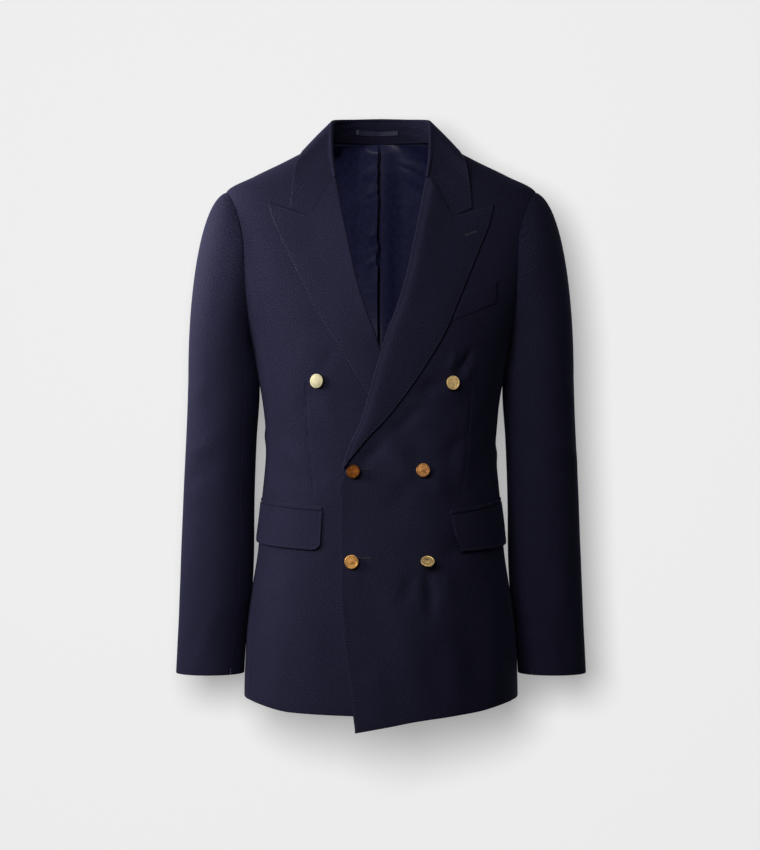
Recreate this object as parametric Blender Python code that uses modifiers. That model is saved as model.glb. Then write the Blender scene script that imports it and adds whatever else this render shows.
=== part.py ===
"""A double breasted blazer, filled out as when it is worn, with nothing inside it.

Tables and named sizes are in millimetres, meshes in metres. +Z is up, the fronts face -Y and the wearer's left is +X.
The origin is between the shoulders, at the level where the collar's fall meets them.
A point of the cloth is given by its angle round the body (0 at centre front, 90 at the side, 180 at centre back),
its height, and how far it stands out from the coat's own surface.
"""

import math

import bpy
import numpy as np
from mathutils import Matrix, Vector

COAT = "double_breasted_blazer"
MM = 0.001

CLOTH = 1.8           # wall of the wool cloth with what backs it
SATIN = 1.0           # wall of the lining
SEAM = 0.3            # gap between pieces that are sewn together
TURNED_SEAM = 1.1     # the same at the face where the cloth turns, so that its inner edges stay clear

# Rings of the body: height, half width, depth in front, depth behind, squareness (2 is an ellipse)
BODY = (
    (24, 56, 8, 80, 2.0),
    (14, 78, 24, 82, 2.0),
    (0, 106, 41, 86, 1.9),
    (-17, 139, 54, 89, 1.85),
    (-33, 172, 63, 92, 1.85),
    (-57, 208, 76, 96, 1.9),
    (-90, 222, 91, 102, 2.0),
    (-132, 215, 107, 109, 2.15),
    (-180, 203, 121, 114, 2.3),
    (-234, 187, 133, 117, 2.35),
    (-268, 177, 137, 116, 2.35),
    (-300, 171, 138, 114, 2.35),
    (-364, 161, 135, 106, 2.35),
    (-410, 158.5, 134, 104, 2.35),
    (-480, 164, 138, 110, 2.35),
    (-547, 169, 142, 118, 2.35),
    (-604, 177, 146, 124, 2.35),
    (-674, 185, 150, 129, 2.35),
    (-754, 188, 153, 133, 2.35),
    (-790, 188, 153, 133, 2.35),
)

# The armhole, a ring round the sleeve: its middle height, half height, reach in front and behind
ARM_MIDDLE, ARM_HALF, ARM_FRONT, ARM_BACK = -162.5, 105.5, 60, 62
FRONT_SEAM_ANGLE, BACK_SEAM_ANGLE = 150, 240    # where the side body starts and ends round the armhole

# Seams of the side body: height, angle of its front seam, angle of its back seam
SIDE_SEAMS = (
    (-210, 80, 121),
    (-254, 79.7, 117),
    (-350, 75, 113),
    (-500, 71, 111),
    (-674, 69, 110),
    (-760, 68, 110),
)

# The front's free edge, from the neck down the roll of the lapel to the hem: height, distance from the centre
FRONT_EDGE = (
    (14, 74.5),
    (4, 72),
    (-10, 67.5),
    (-32, 62),
    (-46, 59.5),
    (-90, 51.5),
    (-137, 42),
    (-185, 31.5),
    (-227, 18.7),
    (-255, 7.5),
    (-283, -1.3),
    (-324, -13),
    (-370, -26),
    (-407, -41),
    (-440, -50),
    (-456, -53),
    (-580, -53),
    (-651, -49),
    (-709, -42.5),
    (-778, -34),
)
LAPEL_END = -436

# Rows of the fronts: row, height at the free edge, angle round the armhole, share of the side seam
FRONT_ROWS = (
    (0, 14, 0, 0),
    (1, 3, 15, 0),
    (2, -14, 30, 0),
    (3, -46, 50, 0),
    (4, -85, 70, 0),
    (5, -125, 90, 0),
    (6, -165, 110, 0),
    (7, -205, 130, 0),
    (8, -245, 150, 0),
    (9, -290, 150, 0.08),
    (10, -335, 150, 0.165),
    (11, -372, 150, 0.24),
    (12, -402, 150, 0.30),
    (13, -436, 150, 0.37),
    (14, -490, 150, 0.47),
    (15, -545, 150, 0.58),
    (16, -600, 150, 0.69),
    (17, -657, 150, 0.80),
    (18, -715, 150, 0.90),
    (19, -760, 150, 1.0),
)
FIRST_SIDE_ROW = 8

# Rows of the backs: row, height at the centre seam, height on the shoulder seam, angle round the armhole,
# share of the side seam
BACK_ROWS = (
    (0, 21, 14, 360, 0),
    (1, 6, 3, 360, 0),
    (2, -10, -12, 360, 0),
    (3, -27, -32, 360, 0),
    (4, -47, -57, 360, 0),
    (5, -62, -57, 345, 0),
    (6, -80, -57, 330, 0),
    (7, -105, -57, 310, 0),
    (8, -134, -57, 290, 0),
    (9, -168, -57, 270, 0),
    (10, -196, -57, 255, 0),
    (11, -224, -57, 240, 0),
    (12, -268, -57, 240, 0.08),
    (13, -313, -57, 240, 0.165),
    (14, -352, -57, 240, 0.24),
    (15, -384, -57, 240, 0.30),
    (16, -422, -57, 240, 0.37),
    (17, -476, -57, 240, 0.47),
    (18, -535, -57, 240, 0.58),
    (19, -593, -57, 240, 0.69),
    (20, -651, -57, 240, 0.80),
    (21, -704, -57, 240, 0.90),
    (22, -757, -57, 240, 1.0),
)
LAST_SHOULDER_ROW, LAST_ARMHOLE_ROW = 4, 11
HEM, OVER_CORNER = -755, -782                   # heights of the hem at the side, and of the over front's corner
# The over front's hem: distance from the centre, height
OVER_HEM = ((-40, OVER_CORNER), (14, -772), (46, -766), (88, -761), (130, -757), (190, HEM))

# How far the over front stands out from the body where it laps over the other: height, lift
OVERLAP = (
    (14, 0),
    (-60, 0),
    (-120, 1.6),
    (-200, 5),
    (-260, 7.6),
    (-440, 7.6),
    (-500, 4.4),
    (-790, 4.2),
)
OVERLAP_EASE = (62, 150)                        # distances from the centre between which that lift fades

# The lapels, row by row: height on the roll, then the outer edge of the over lapel and of the under lapel (x, z)
LAPEL_ROWS = (
    (-46, 151.5, -80, 152.5, -77),
    (-85, 146, -104, 146, -98),
    (-125, 133, -137, 133, -128),
    (-165, 118, -173, 117.5, -160),
    (-205, 101, -214, 100, -196),
    (-245, 84, -252, 81, -233),
    (-290, 61, -292, 56, -273),
    (-335, 33, -334, 28, -319),
    (-372, 9, -366, 4, -355),
    (-402, -18, -395, -21, -391),
    (LAPEL_END, -45, -431, -45, -431),
)
NOTCH = (95, -99)                               # where the seam between collar and lapel opens
FOLD_RADIUS, FOLD_SHIFT = 2.7, 1.2              # the rolled edge of lapel and collar, and its straight start
ROLL_SETBACK = FOLD_RADIUS + FOLD_SHIFT
LAPEL_LIFT = 3.1                                # height of the lapel's face above the front, at its outer edge

# The collar, from centre back to the gorge: station, neck seam (angle, z), fold line (x, y, z), outer edge (x, y, z)
COLLAR = (
    (0, 180, 21, 0, 76, 56, 0, 91, 4),
    (1, 154, 20.4, 31, 69.5, 54.5, 44, 83, 4),
    (2, 122, 17.5, 55, 44, 50.5, 80, 61, 5),
    (3, 90, 14, 65.2, 8, 43, 102.5, 6, 5.2),
    (4, 52, 5, 65.6, -25, 18, 115, -48, -19),
    (5, 36, -10, 64, -50, -10, 120, -68, -54),
    (6, 20.7, -46, 59.7, -69, -43, 122.5, -85, -86),
)
NOTCH_SHARE = 0.68                              # where the notch comes on the way from the fold to the collar's corner
COLLAR_BULGE = 1.5                              # roundness of the fall between its fold and its edge

# The sleeve's rings: height, centre x, half width, centre y, half depth
SLEEVE = (
    (-300, 219.6, 45.4, 2, 60),
    (-335, 217.6, 49.1, 4, 59),
    (-398, 220.6, 48.7, 6, 56.5),
    (-480, 224, 49.2, 6, 52),
    (-563, 226, 50.4, 4, 49),
    (-600, 227.5, 50.1, 3, 47.5),
    (-660, 232.6, 47.3, 1, 45),
    (-722, 235.6, 47, -2, 43),
)
ARM_ANGLES = (0, 15, 30, 50, 70, 90, 110, 130, 150, 165, 180, 195, 210, 225, 240, 255, 270, 290, 310, 330, 345)
FORE_SEAM, HIND_SEAM = 130, 240                 # the sleeve's two seams

LINING_EDGE, LINING_HEM, LINING_DEPTH, PLEAT_DEPTH = 106, -400, 4.2, 2.2
LINING_NECK = ((90, 8), (122, 14.5), (154, 17.5), (182, 18))    # angle, height of the lining's top edge
LOOP_LEFT, LOOP_RIGHT, LOOP_LOW, LOOP_HIGH, LOOP_WALL = -34, 24, 32, 39, 1.2
STAND_LOW, STAND_HIGH = 21, 52                  # heights of the stand's lower and upper edge at centre back

# Pockets: distance from the centre at the flap's inner end, top and bottom, for the left and the right flap
FLAP_INNER = {1: (92, 98), -1: (77, 83)}
FLAP_OUTER_ANGLE = 86
FLAP_TOP, FLAP_TOP_RISE, FLAP_BOTTOM, FLAP_CORNER, FLAP_LENGTH = -488, 8, -541, 9, 130
FLAP_COLUMNS = (0, 0.035, 0.08, 0.25, 0.45, 0.65, 0.85, 0.94, 0.98, 1.0)    # closer together at its corners
FLAP_LIFTS = (1.1, 2.4)                         # air under the flap, at its top and at its bottom
WELT = ((109.5, -201), (154.5, -184), (154, -214), (92.5, -240))

BUTTON_RADIUS, BUTTON_THICKNESS, SHANK_RADIUS, SHANK_HEIGHT, BUTTON_AIR = 10, 2.6, 2.2, 2.4, 0.5
# Buttons: name, distance of the disc from the centre (wearer's left is +), its height, and where its face looks:
# degrees toward the wearer's left, degrees up
BUTTONS = (
    ("button_top_right", -84.3, -319, -27, 3),
    ("button_top_left", 92, -320.6, 22, -3),
    ("button_middle_right", -35, -439, -20, 8),
    ("button_middle_left", 54, -437, -8, 8),
    ("button_bottom_right", -38, -557, -8, 4),
    ("button_bottom_left", 58, -555, 0, 40),
)


def curve(table, column, at):
    """Reads a column of a table between its rows, on a smooth curve that never overshoots a row."""
    rows = np.array(sorted(table), dtype=float)
    key, value = rows[:, 0], rows[:, column]
    at = np.clip(np.asarray(at, dtype=float), key[0], key[-1])
    step = np.diff(key)
    slope = np.diff(value) / step
    tangent = np.zeros(len(key))
    tangent[0], tangent[-1] = slope[0], slope[-1]
    for i in range(1, len(key) - 1):
        if slope[i - 1] * slope[i] > 0:
            before, after = 2 * step[i] + step[i - 1], step[i] + 2 * step[i - 1]
            tangent[i] = (before + after) / (before / slope[i - 1] + after / slope[i])
    i = np.clip(np.searchsorted(key, at, side="right") - 1, 0, len(step) - 1)
    t = (at - key[i]) / step[i]
    return (value[i] * (1 + 2 * t) * (1 - t) ** 2 + tangent[i] * step[i] * t * (1 - t) ** 2
            + value[i + 1] * t * t * (3 - 2 * t) + tangent[i + 1] * step[i] * t * t * (t - 1))


def ease(value, start, end):
    """0 before start, 1 after end, smooth between."""
    t = np.clip((value - start) / (end - start), 0, 1)
    return t * t * (3 - 2 * t)


def mix(a, b, share):
    return a + (b - a) * share


def unit(vectors):
    return vectors / np.maximum(np.linalg.norm(vectors, axis=-1, keepdims=True), 1e-9)


def ring_point(angle, z):
    """A point of the body's own surface; the angle is in radians."""
    power = 2 / curve(BODY, 4, z)
    sine, cosine = np.sin(angle), np.cos(angle)
    depth = np.where(cosine >= 0, curve(BODY, 2, z), curve(BODY, 3, z))
    x = curve(BODY, 1, z) * np.sign(sine) * np.abs(sine) ** power
    y = -depth * np.sign(cosine) * np.abs(cosine) ** power
    return np.stack(np.broadcast_arrays(x, y, z), axis=-1)


def skin(angle, z, out=0.0):
    """Points that stand out from the body's surface, along its normal."""
    angle, z = np.broadcast_arrays(np.asarray(angle, dtype=float), np.asarray(z, dtype=float))
    turn, rise = 0.01, 1.0
    across = ring_point(angle + turn, z) - ring_point(angle - turn, z)
    upward = ring_point(angle, z + rise) - ring_point(angle, z - rise)
    normal = unit(np.cross(across, upward))
    return ring_point(angle, z) + normal * np.asarray(out, dtype=float)[..., None]


def angle_at(x, z):
    """The angle, in front, of a point at a distance from the centre."""
    share = np.clip(np.abs(x) / curve(BODY, 1, z), 0, 1)
    return np.sign(x) * np.arcsin(share ** (curve(BODY, 4, z) / 2))


def armhole(degrees):
    """Angle and height of the armhole's points; 0 is the shoulder, 90 the front, 180 the pit, 270 the back."""
    turn = np.radians(degrees)
    z = ARM_MIDDLE + ARM_HALF * np.cos(turn)
    front = np.sin(turn) >= 0
    reach = np.abs(np.sin(turn)) * np.where(front, ARM_FRONT, ARM_BACK)
    depth = np.where(front, curve(BODY, 2, z), curve(BODY, 3, z))
    swing = np.arcsin(np.clip(reach / depth, 0, 1) ** (curve(BODY, 4, z) / 2))
    return math.pi / 2 - np.where(front, swing, -swing), z


def overlap(x, z, side):
    """How far the wearer's left front stands out, to lap over the right one."""
    if side < 0:
        return np.zeros(np.broadcast(x, z).shape)
    return curve(OVERLAP, 1, z) * (1 - ease(x, *OVERLAP_EASE))


def setback(z):
    """How far the front's own edge lies behind the rolled edge of the lapel."""
    return ROLL_SETBACK * ease(z, LAPEL_END - 20, LAPEL_END - 4)


def side_seam(share, start_angle, seam_column):
    """Angle and height of a seam of the side body, from the armhole to the hem."""
    first_angle, first_z = armhole(start_angle)
    z = mix(first_z, HEM, share)
    drift = first_angle - math.radians(curve(SIDE_SEAMS, seam_column, first_z))
    return np.radians(curve(SIDE_SEAMS, seam_column, z)) + drift * (1 - share), z


def inset(grid, first_row=0.0, last_row=0.0, first_column=0.0, last_column=0.0):
    """Draws the edges of a grid of points back by a distance, along the cloth."""
    grid = grid.copy()
    for axis, near, far in ((0, first_row, last_row), (1, first_column, last_column)):
        lines = np.swapaxes(grid, 0, axis)
        if near:
            lines[0] += unit(lines[1] - lines[0]) * near
        if far:
            lines[-1] += unit(lines[-2] - lines[-1]) * far
        grid = np.swapaxes(lines, 0, axis)
    return grid


def smooth_shade(mesh, degrees=40):
    mesh.shade_smooth()
    mesh.set_sharp_from_angle(angle=math.radians(degrees))


def cloth(name, grid, wall, material, side=1):
    """A wall of cloth behind a grid of points in millimetres, whose rows run down and columns run round."""
    rows, columns = grid.shape[:2]
    points = grid.reshape(-1, 3) * MM * np.array((side, 1, 1))
    mesh = bpy.data.meshes.new(name)
    faces = []
    for r in range(rows - 1):
        for c in range(columns - 1):
            corner = r * columns + c
            face = (corner, corner + columns, corner + columns + 1, corner + 1)
            faces.append(face if side > 0 else face[::-1])
    mesh.from_pydata([tuple(p) for p in points], [], faces)
    smooth_shade(mesh)
    mesh.materials.append(material)
    piece = bpy.data.objects.new(name, mesh)
    parts.objects.link(piece)
    thicken = piece.modifiers.new("wall", "SOLIDIFY")
    thicken.thickness = wall * MM
    thicken.offset = -1
    return piece


def make_material(name, color, roughness, metallic=0.0):
    material = bpy.data.materials.new(name)
    material.use_nodes = True
    shader = material.node_tree.nodes["Principled BSDF"]
    shader.inputs["Base Color"].default_value = (*color, 1)
    shader.inputs["Roughness"].default_value = roughness
    shader.inputs["Metallic"].default_value = metallic
    material.diffuse_color = (*color, 1)
    return material


def edge_x(z):
    """Distance from the centre of the front's own edge."""
    return curve(FRONT_EDGE, 1, z) + setback(z)


def front_grid(side, columns):
    """A front: from the shoulder seam, the neck, the roll and the free edge to the armhole and the side seam."""
    row = np.arange(FRONT_ROWS[-1][0] + 1.0)
    inner_z = curve(FRONT_ROWS, 1, row)
    if side > 0:
        inner_z[-1] = OVER_CORNER
    inner_angle = angle_at(edge_x(inner_z), inner_z)
    arm_angle, arm_z = armhole(curve(FRONT_ROWS, 2, row))
    seam_angle, seam_z = side_seam(curve(FRONT_ROWS, 3, row), FRONT_SEAM_ANGLE, 1)
    on_armhole = row <= FIRST_SIDE_ROW
    outer_angle, outer_z = np.where(on_armhole, arm_angle, seam_angle), np.where(on_armhole, arm_z, seam_z)
    across = np.linspace(0, 1, columns + 1)[None, :]
    angle = mix(inner_angle[:, None], outer_angle[:, None], across)
    z = mix(inner_z[:, None], outer_z[:, None], across)
    angle[0] = math.pi / 2
    if side > 0:
        hem_x = ring_point(angle[-1], z[-1])[:, 0]
        z[-1] = curve(OVER_HEM, 1, hem_x)
    x = ring_point(angle, z)[..., 0]
    points = skin(angle, z, overlap(x, z, side))
    return inset(points, first_row=TURNED_SEAM / 2, first_column=SEAM / 2, last_column=SEAM)


def back_grid(columns):
    """A back: from the centre seam and the neck to the shoulder seam, the armhole and the side seam."""
    row = np.arange(BACK_ROWS[-1][0] + 1.0)
    centre_z, shoulder_z = curve(BACK_ROWS, 1, row), curve(BACK_ROWS, 2, row)
    arm_angle, arm_z = armhole(curve(BACK_ROWS, 3, row))
    seam_angle, seam_z = side_seam(curve(BACK_ROWS, 4, row), BACK_SEAM_ANGLE, 2)
    on_shoulder, on_armhole = row <= LAST_SHOULDER_ROW, row <= LAST_ARMHOLE_ROW
    outer_angle = np.where(on_shoulder, math.pi / 2, np.where(on_armhole, arm_angle, seam_angle))
    outer_z = np.where(on_shoulder, shoulder_z, np.where(on_armhole, arm_z, seam_z))
    across = np.linspace(0, 1, columns + 1)[None, :]
    angle = mix(outer_angle[:, None], math.pi, across)
    z = mix(outer_z[:, None], centre_z[:, None], across)
    return inset(skin(angle, z), first_column=TURNED_SEAM / 2, last_column=SEAM)


def side_grid():
    """The side body, which closes the coat below the armhole."""
    arm_columns = np.array([a for a in ARM_ANGLES if FRONT_SEAM_ANGLE <= a <= BACK_SEAM_ANGLE], dtype=float)
    share = np.array([row[3] for row in FRONT_ROWS[FIRST_SIDE_ROW:]])[:, None]
    top_angle, top_z = armhole(arm_columns)
    across = (arm_columns - FRONT_SEAM_ANGLE) / (BACK_SEAM_ANGLE - FRONT_SEAM_ANGLE)
    front_angle, front_z = side_seam(share, FRONT_SEAM_ANGLE, 1)
    back_angle, back_z = side_seam(share, BACK_SEAM_ANGLE, 2)
    bend = top_angle - mix(front_angle[0], back_angle[0], across)
    dip = top_z - mix(front_z[0], back_z[0], across)
    angle = mix(front_angle, back_angle, across) + bend * (1 - share)
    z = mix(front_z, back_z, across) + dip * (1 - share)
    return inset(skin(angle, z), first_row=SEAM / 2, first_column=SEAM, last_column=TURNED_SEAM / 2)


def fold_steps(steps):
    """The rolled edge in section: distance beyond the piece that it grows from, and height above that piece."""
    turn = np.linspace(0, math.pi, steps + 1)
    beyond = np.append(SEAM, FOLD_SHIFT + FOLD_RADIUS * np.sin(turn))
    height = np.append(-CLOTH, FOLD_RADIUS - CLOTH - FOLD_RADIUS * np.cos(turn))
    return beyond, height


def lapel_grid(side, columns, fold):
    """A lapel: the rolled edge, then the turned back cloth between the roll, the gorge and its outer edge."""
    row = np.array([r[0] for r in LAPEL_ROWS], dtype=float)
    down = np.arange(len(row)) / (len(row) - 1)
    outer = np.array([r[1:3] if side > 0 else r[3:5] for r in LAPEL_ROWS], dtype=float)
    beyond, height = fold_steps(fold)
    roll_x = edge_x(row)
    across = np.linspace(0, 1, columns + 1)[1:]
    roll = np.stack((roll_x - FOLD_SHIFT, row), axis=-1)
    top = np.where(across[:, None] < 0.5, mix(roll[0], NOTCH, across[:, None] * 2),
                   mix(np.array(NOTCH), outer[0], across[:, None] * 2 - 1))
    dip = top - mix(roll[0], outer[0], across[:, None])
    flat = mix(roll[:, None], outer[:, None], across[None, :, None]) + dip[None] * (1 - down[:, None, None]) ** 1.5
    rolled_x = roll_x[:, None] - beyond[None, :]
    x = np.concatenate((rolled_x, flat[..., 0]), axis=1)
    z = np.concatenate((np.repeat(row[:, None], len(beyond), axis=1), flat[..., 1]), axis=1)
    lift = np.concatenate((height, mix(height[-1], LAPEL_LIFT, across)))[None, :] + overlap(x, z, side)
    return inset(skin(angle_at(x, z), z, lift), first_row=SEAM / 2)


def collar_lines(station):
    """Neck seam, fold line and outer edge of the collar at its stations."""
    angle, z = np.radians(curve(COLLAR, 1, station)), curve(COLLAR, 2, station)
    neck = skin(angle, z)
    fold = np.stack([curve(COLLAR, c, station) for c in (3, 4, 5)], axis=-1)
    edge = np.stack([curve(COLLAR, c, station) for c in (6, 7, 8)], axis=-1)
    return neck, fold, edge


def collar_frame(station):
    """Where the stand's top edge lies, which way is up the stand and which way is out from the neck."""
    neck, fold, _ = collar_lines(station)
    before, after = collar_lines(station - 0.02)[1], collar_lines(station + 0.02)[1]
    forward = unit(after - before)
    last = station[-1]
    gorge = ease(station, last - 1.6, last)[:, None]
    upward = unit(mix(unit(fold - neck), np.array((-0.97, -0.1, 0.2)), gorge))
    upward = unit(upward - forward * np.sum(upward * forward, axis=-1, keepdims=True))
    outward = np.cross(upward, forward)
    return neck, fold - upward * (FOLD_RADIUS + FOLD_SHIFT), upward, outward


def both_sides(half):
    """Joins a half, whose rows start at centre back, to its mirror image."""
    mirrored = half[:0:-1] * np.array((-1, 1, 1))
    return np.concatenate((mirrored, half), axis=0)


def collar_grids(stations, fall_columns, fold):
    """The collar's stand, and its fall with the rolled edge."""
    station = np.linspace(0, COLLAR[-1][0], stations + 1)
    neck, top, upward, outward = collar_frame(station)
    rise = np.linspace(0, 1, 4)[None, :, None]
    stand = mix(neck[:, None] + upward[:, None] * SEAM, top[:, None], rise)
    standing = np.linalg.norm(top - neck, axis=-1) > 4
    stand = stand[:np.count_nonzero(standing)]

    beyond, height = fold_steps(fold)
    rolled = top[:, None] + upward[:, None] * beyond[None, :, None] + outward[:, None] * height[None, :, None]
    edge = collar_lines(station)[2]
    start = rolled[:, -1]
    share = np.linspace(0, 1, fall_columns + 1)[None, 1:, None]
    chord = mix(start[:, None], edge[:, None], share)
    fall = chord + outward[:, None] * COLLAR_BULGE * 4 * share * (1 - share)

    gorge = ease(station, 3.6, 6)[:, None]
    last = station[:, None] - (COLLAR[-1][0] - 1)
    kink = np.minimum(share[..., 0] / NOTCH_SHARE, (1 - share[..., 0]) / (1 - NOTCH_SHARE)) * np.clip(last, 0, 1) ** 1.5
    chord_notch = mix(np.array((start[-1, 0], start[-1, 2])), edge[-1, [0, 2]], NOTCH_SHARE)
    x = chord[..., 0] + kink * (NOTCH[0] - chord_notch[0])
    z = chord[..., 2] + kink * (NOTCH[1] - chord_notch[1])
    on_front = skin(angle_at(x, z), z, mix(height[-1] + 0.6, LAPEL_LIFT, share[..., 0]) + 0 * x)
    fall = mix(fall, on_front, gorge[..., None])
    fall_grid = np.concatenate((rolled, fall), axis=1)
    return both_sides(stand), inset(both_sides(fall_grid), first_row=SEAM / 2, last_row=SEAM / 2)


def sleeve_ring(turn, z):
    x = curve(SLEEVE, 1, z) + curve(SLEEVE, 2, z) * np.cos(turn)
    y = curve(SLEEVE, 3, z) - curve(SLEEVE, 4, z) * np.sin(turn)
    return np.stack(np.broadcast_arrays(x, y, z), axis=-1)


def sleeve_grid(degrees, cap_rows, ring_heights):
    """Part of a sleeve between two of its seams: a cap that swings out of the armhole, then rings down to the cuff."""
    turn = np.radians(degrees)
    start = skin(*armhole(degrees))
    away = unit(np.stack((0.575 + 0.425 * np.cos(turn), -0.4 * np.sin(turn), -0.54 + 0.46 * np.cos(turn)), axis=-1))
    start = start + away * SEAM * 1.5
    end = sleeve_ring(turn, np.full(len(turn), float(SLEEVE[0][0])))
    below = sleeve_ring(turn, np.full(len(turn), SLEEVE[0][0] - 5.0))
    first_handle = start + away * (21 + 15 * np.cos(turn))[:, None]
    last_handle = end + unit(end - below) * 0.45 * (start[:, 2] - end[:, 2])[:, None]
    t = np.linspace(0, 1, cap_rows + 1)[:, None, None]
    cap = (start * (1 - t) ** 3 + first_handle * 3 * t * (1 - t) ** 2
           + last_handle * 3 * t * t * (1 - t) + end * t ** 3)
    arm = sleeve_ring(turn[None, :], np.array(ring_heights, dtype=float)[:, None])
    return inset(np.concatenate((cap, arm)), first_column=TURNED_SEAM / 2, last_column=TURNED_SEAM / 2)


def lining_grid(side, columns, rows):
    """Half of the back's lining; the right half's folded edge lies over the left half at the centre pleat."""
    last = 182 if side > 0 else 179.6
    across = np.linspace(0, 1, columns + 1)[None, :] ** 0.8
    angle = np.radians(mix(LINING_EDGE, last, across))
    down = np.linspace(0, 1, rows + 1)[:, None]
    neck_z = curve(LINING_NECK, 1, np.degrees(angle))
    pleat = ease(np.degrees(angle), 160, 176) if side < 0 else 0 * angle
    return skin(angle, mix(neck_z, LINING_HEM, down ** 1.1), -LINING_DEPTH - PLEAT_DEPTH * pleat + 0 * down)


def flap_grid(side):
    """A pocket flap, with rounded lower corners."""
    share = np.array(FLAP_COLUMNS)[None, :]
    down = np.linspace(0, 1, 4)[:, None]
    top_x, bottom_x = FLAP_INNER[side]
    inner_x = mix(top_x, bottom_x, down)
    top_z = mix(FLAP_TOP, FLAP_TOP + FLAP_TOP_RISE, share)
    angle = mix(angle_at(inner_x, FLAP_TOP), math.radians(FLAP_OUTER_ANGLE), share)
    near = np.clip(np.minimum(share, 1 - share) * FLAP_LENGTH, 0, FLAP_CORNER)
    corner = FLAP_CORNER - np.sqrt(FLAP_CORNER ** 2 - (FLAP_CORNER - near) ** 2)
    bottom_z = mix(FLAP_BOTTOM, FLAP_BOTTOM + 5, share) + corner
    z = mix(top_z, bottom_z, down)
    x = ring_point(angle, z)[..., 0]
    return skin(angle, z, overlap(x, z, side) + CLOTH + mix(*FLAP_LIFTS, down))


def jetting_grid(side):
    """The narrow strip that binds a pocket's mouth, above the flap."""
    share = np.linspace(0, 1, 7)[None, :]
    rise = np.array((7.0, 1.0))[:, None]
    angle = mix(angle_at(FLAP_INNER[side][0], FLAP_TOP), math.radians(FLAP_OUTER_ANGLE), share) + 0 * rise
    z = mix(FLAP_TOP, FLAP_TOP + FLAP_TOP_RISE, share) + rise
    x = ring_point(angle, z)[..., 0]
    return skin(angle, z, overlap(x, z, side) + CLOTH + 0.8)


def welt_grid():
    """The breast pocket's slanted welt."""
    top_in, top_out, bottom_out, bottom_in = (np.array(p, dtype=float) for p in WELT)
    share = np.linspace(0, 1, 5)[None, :, None]
    down = np.linspace(0, 1, 4)[:, None, None]
    flat = mix(mix(top_in, top_out, share), mix(bottom_in, bottom_out, share), down)
    x, z = flat[..., 0], flat[..., 1]
    return skin(angle_at(x, z), z, overlap(x, z, 1) + CLOTH + 0.6)


def loop_grid():
    """The hanger loop, on the inside of the stand."""
    x = np.linspace(LOOP_LEFT, LOOP_RIGHT, 7)[None, :]
    z = np.array((LOOP_HIGH, LOOP_LOW), dtype=float)[:, None]
    station = np.linspace(0, 1.4, 29)
    neck, top, _, _ = collar_frame(station)
    share = (z - STAND_LOW) / (STAND_HIGH - STAND_LOW)
    neck_y = np.interp(np.abs(x), neck[:, 0], neck[:, 1])
    top_y = np.interp(np.abs(x), top[:, 0], top[:, 1])
    y = mix(neck_y, top_y, share) - CLOTH - 1.2
    points = np.stack(np.broadcast_arrays(x, y, z), axis=-1)
    return points[:, ::-1]


def button_seat(x, z):
    """The point of the cloth under a button, and the cloth's normal there."""
    side = 1 if x > 0 or z < LAPEL_END else -1
    reach, height = np.array(side * x, dtype=float), np.array(float(z))
    lift = overlap(reach, height, side)
    flip = np.array((side, 1, 1))
    seat = skin(angle_at(reach, height), height, lift) * flip
    return Vector(seat), Vector(skin(angle_at(reach, height), height, lift + 1) * flip - seat).normalized()


def button(name, x, z, turn, rise, material):
    """A domed metal button on its shank, turned from one profile; the shank is as long as the button's lean needs."""
    turn, rise = math.radians(turn), math.radians(rise)
    axis = Vector((math.sin(turn) * math.cos(rise), -math.cos(turn) * math.cos(rise), math.sin(rise)))
    lean = axis.angle(button_seat(x, z)[1])
    back = max(SHANK_HEIGHT, (BUTTON_AIR + BUTTON_RADIUS * math.sin(lean)) / math.cos(lean))
    foot = (BUTTON_AIR + SHANK_RADIUS * math.sin(lean)) / math.cos(lean)
    seat = button_seat(x - axis.x * back, z - axis.z * back)[0]
    top = back + BUTTON_THICKNESS
    profile = ((0, top), (0.82 * BUTTON_RADIUS, top - 0.5), (BUTTON_RADIUS, back + 0.9), (BUTTON_RADIUS - 0.8, back),
               (SHANK_RADIUS, back), (SHANK_RADIUS, foot), (0, foot))
    mesh = bpy.data.meshes.new(name)
    mesh.from_pydata([(r * MM, 0, h * MM) for r, h in profile], [(i, i + 1) for i in range(len(profile) - 1)], [])
    mesh.materials.append(material)
    piece = bpy.data.objects.new(name, mesh)
    parts.objects.link(piece)
    screw = piece.modifiers.new("turn", "SCREW")
    screw.steps = screw.render_steps = 20
    screw.use_merge_vertices = True
    screw.merge_threshold = 0.00001
    piece.matrix_world = Matrix.Translation(seat * MM) @ axis.to_track_quat("Z", "Y").to_matrix().to_4x4()


for old in list(bpy.data.objects):
    bpy.data.objects.remove(old)
parts = bpy.data.collections.new(COAT)
bpy.context.scene.collection.children.link(parts)

wool = make_material("wool_cloth", (0.016, 0.016, 0.030), 0.85)
satin = make_material("lining_satin", (0.012, 0.013, 0.034), 0.35)
gilt = make_material("gilt_brass", (0.85, 0.62, 0.30), 0.28, 1.0)

FRONT_COLUMNS, BACK_COLUMNS, CAP_ROWS = 9, 7, 5
SLEEVE_HEIGHTS = (-350, -415, -485, -560, -640, -722)
top_angles = [a - 360 for a in ARM_ANGLES if a >= HIND_SEAM] + [a for a in ARM_ANGLES if a <= FORE_SEAM]
under_angles = [a for a in ARM_ANGLES if FORE_SEAM <= a <= HIND_SEAM]

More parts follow.
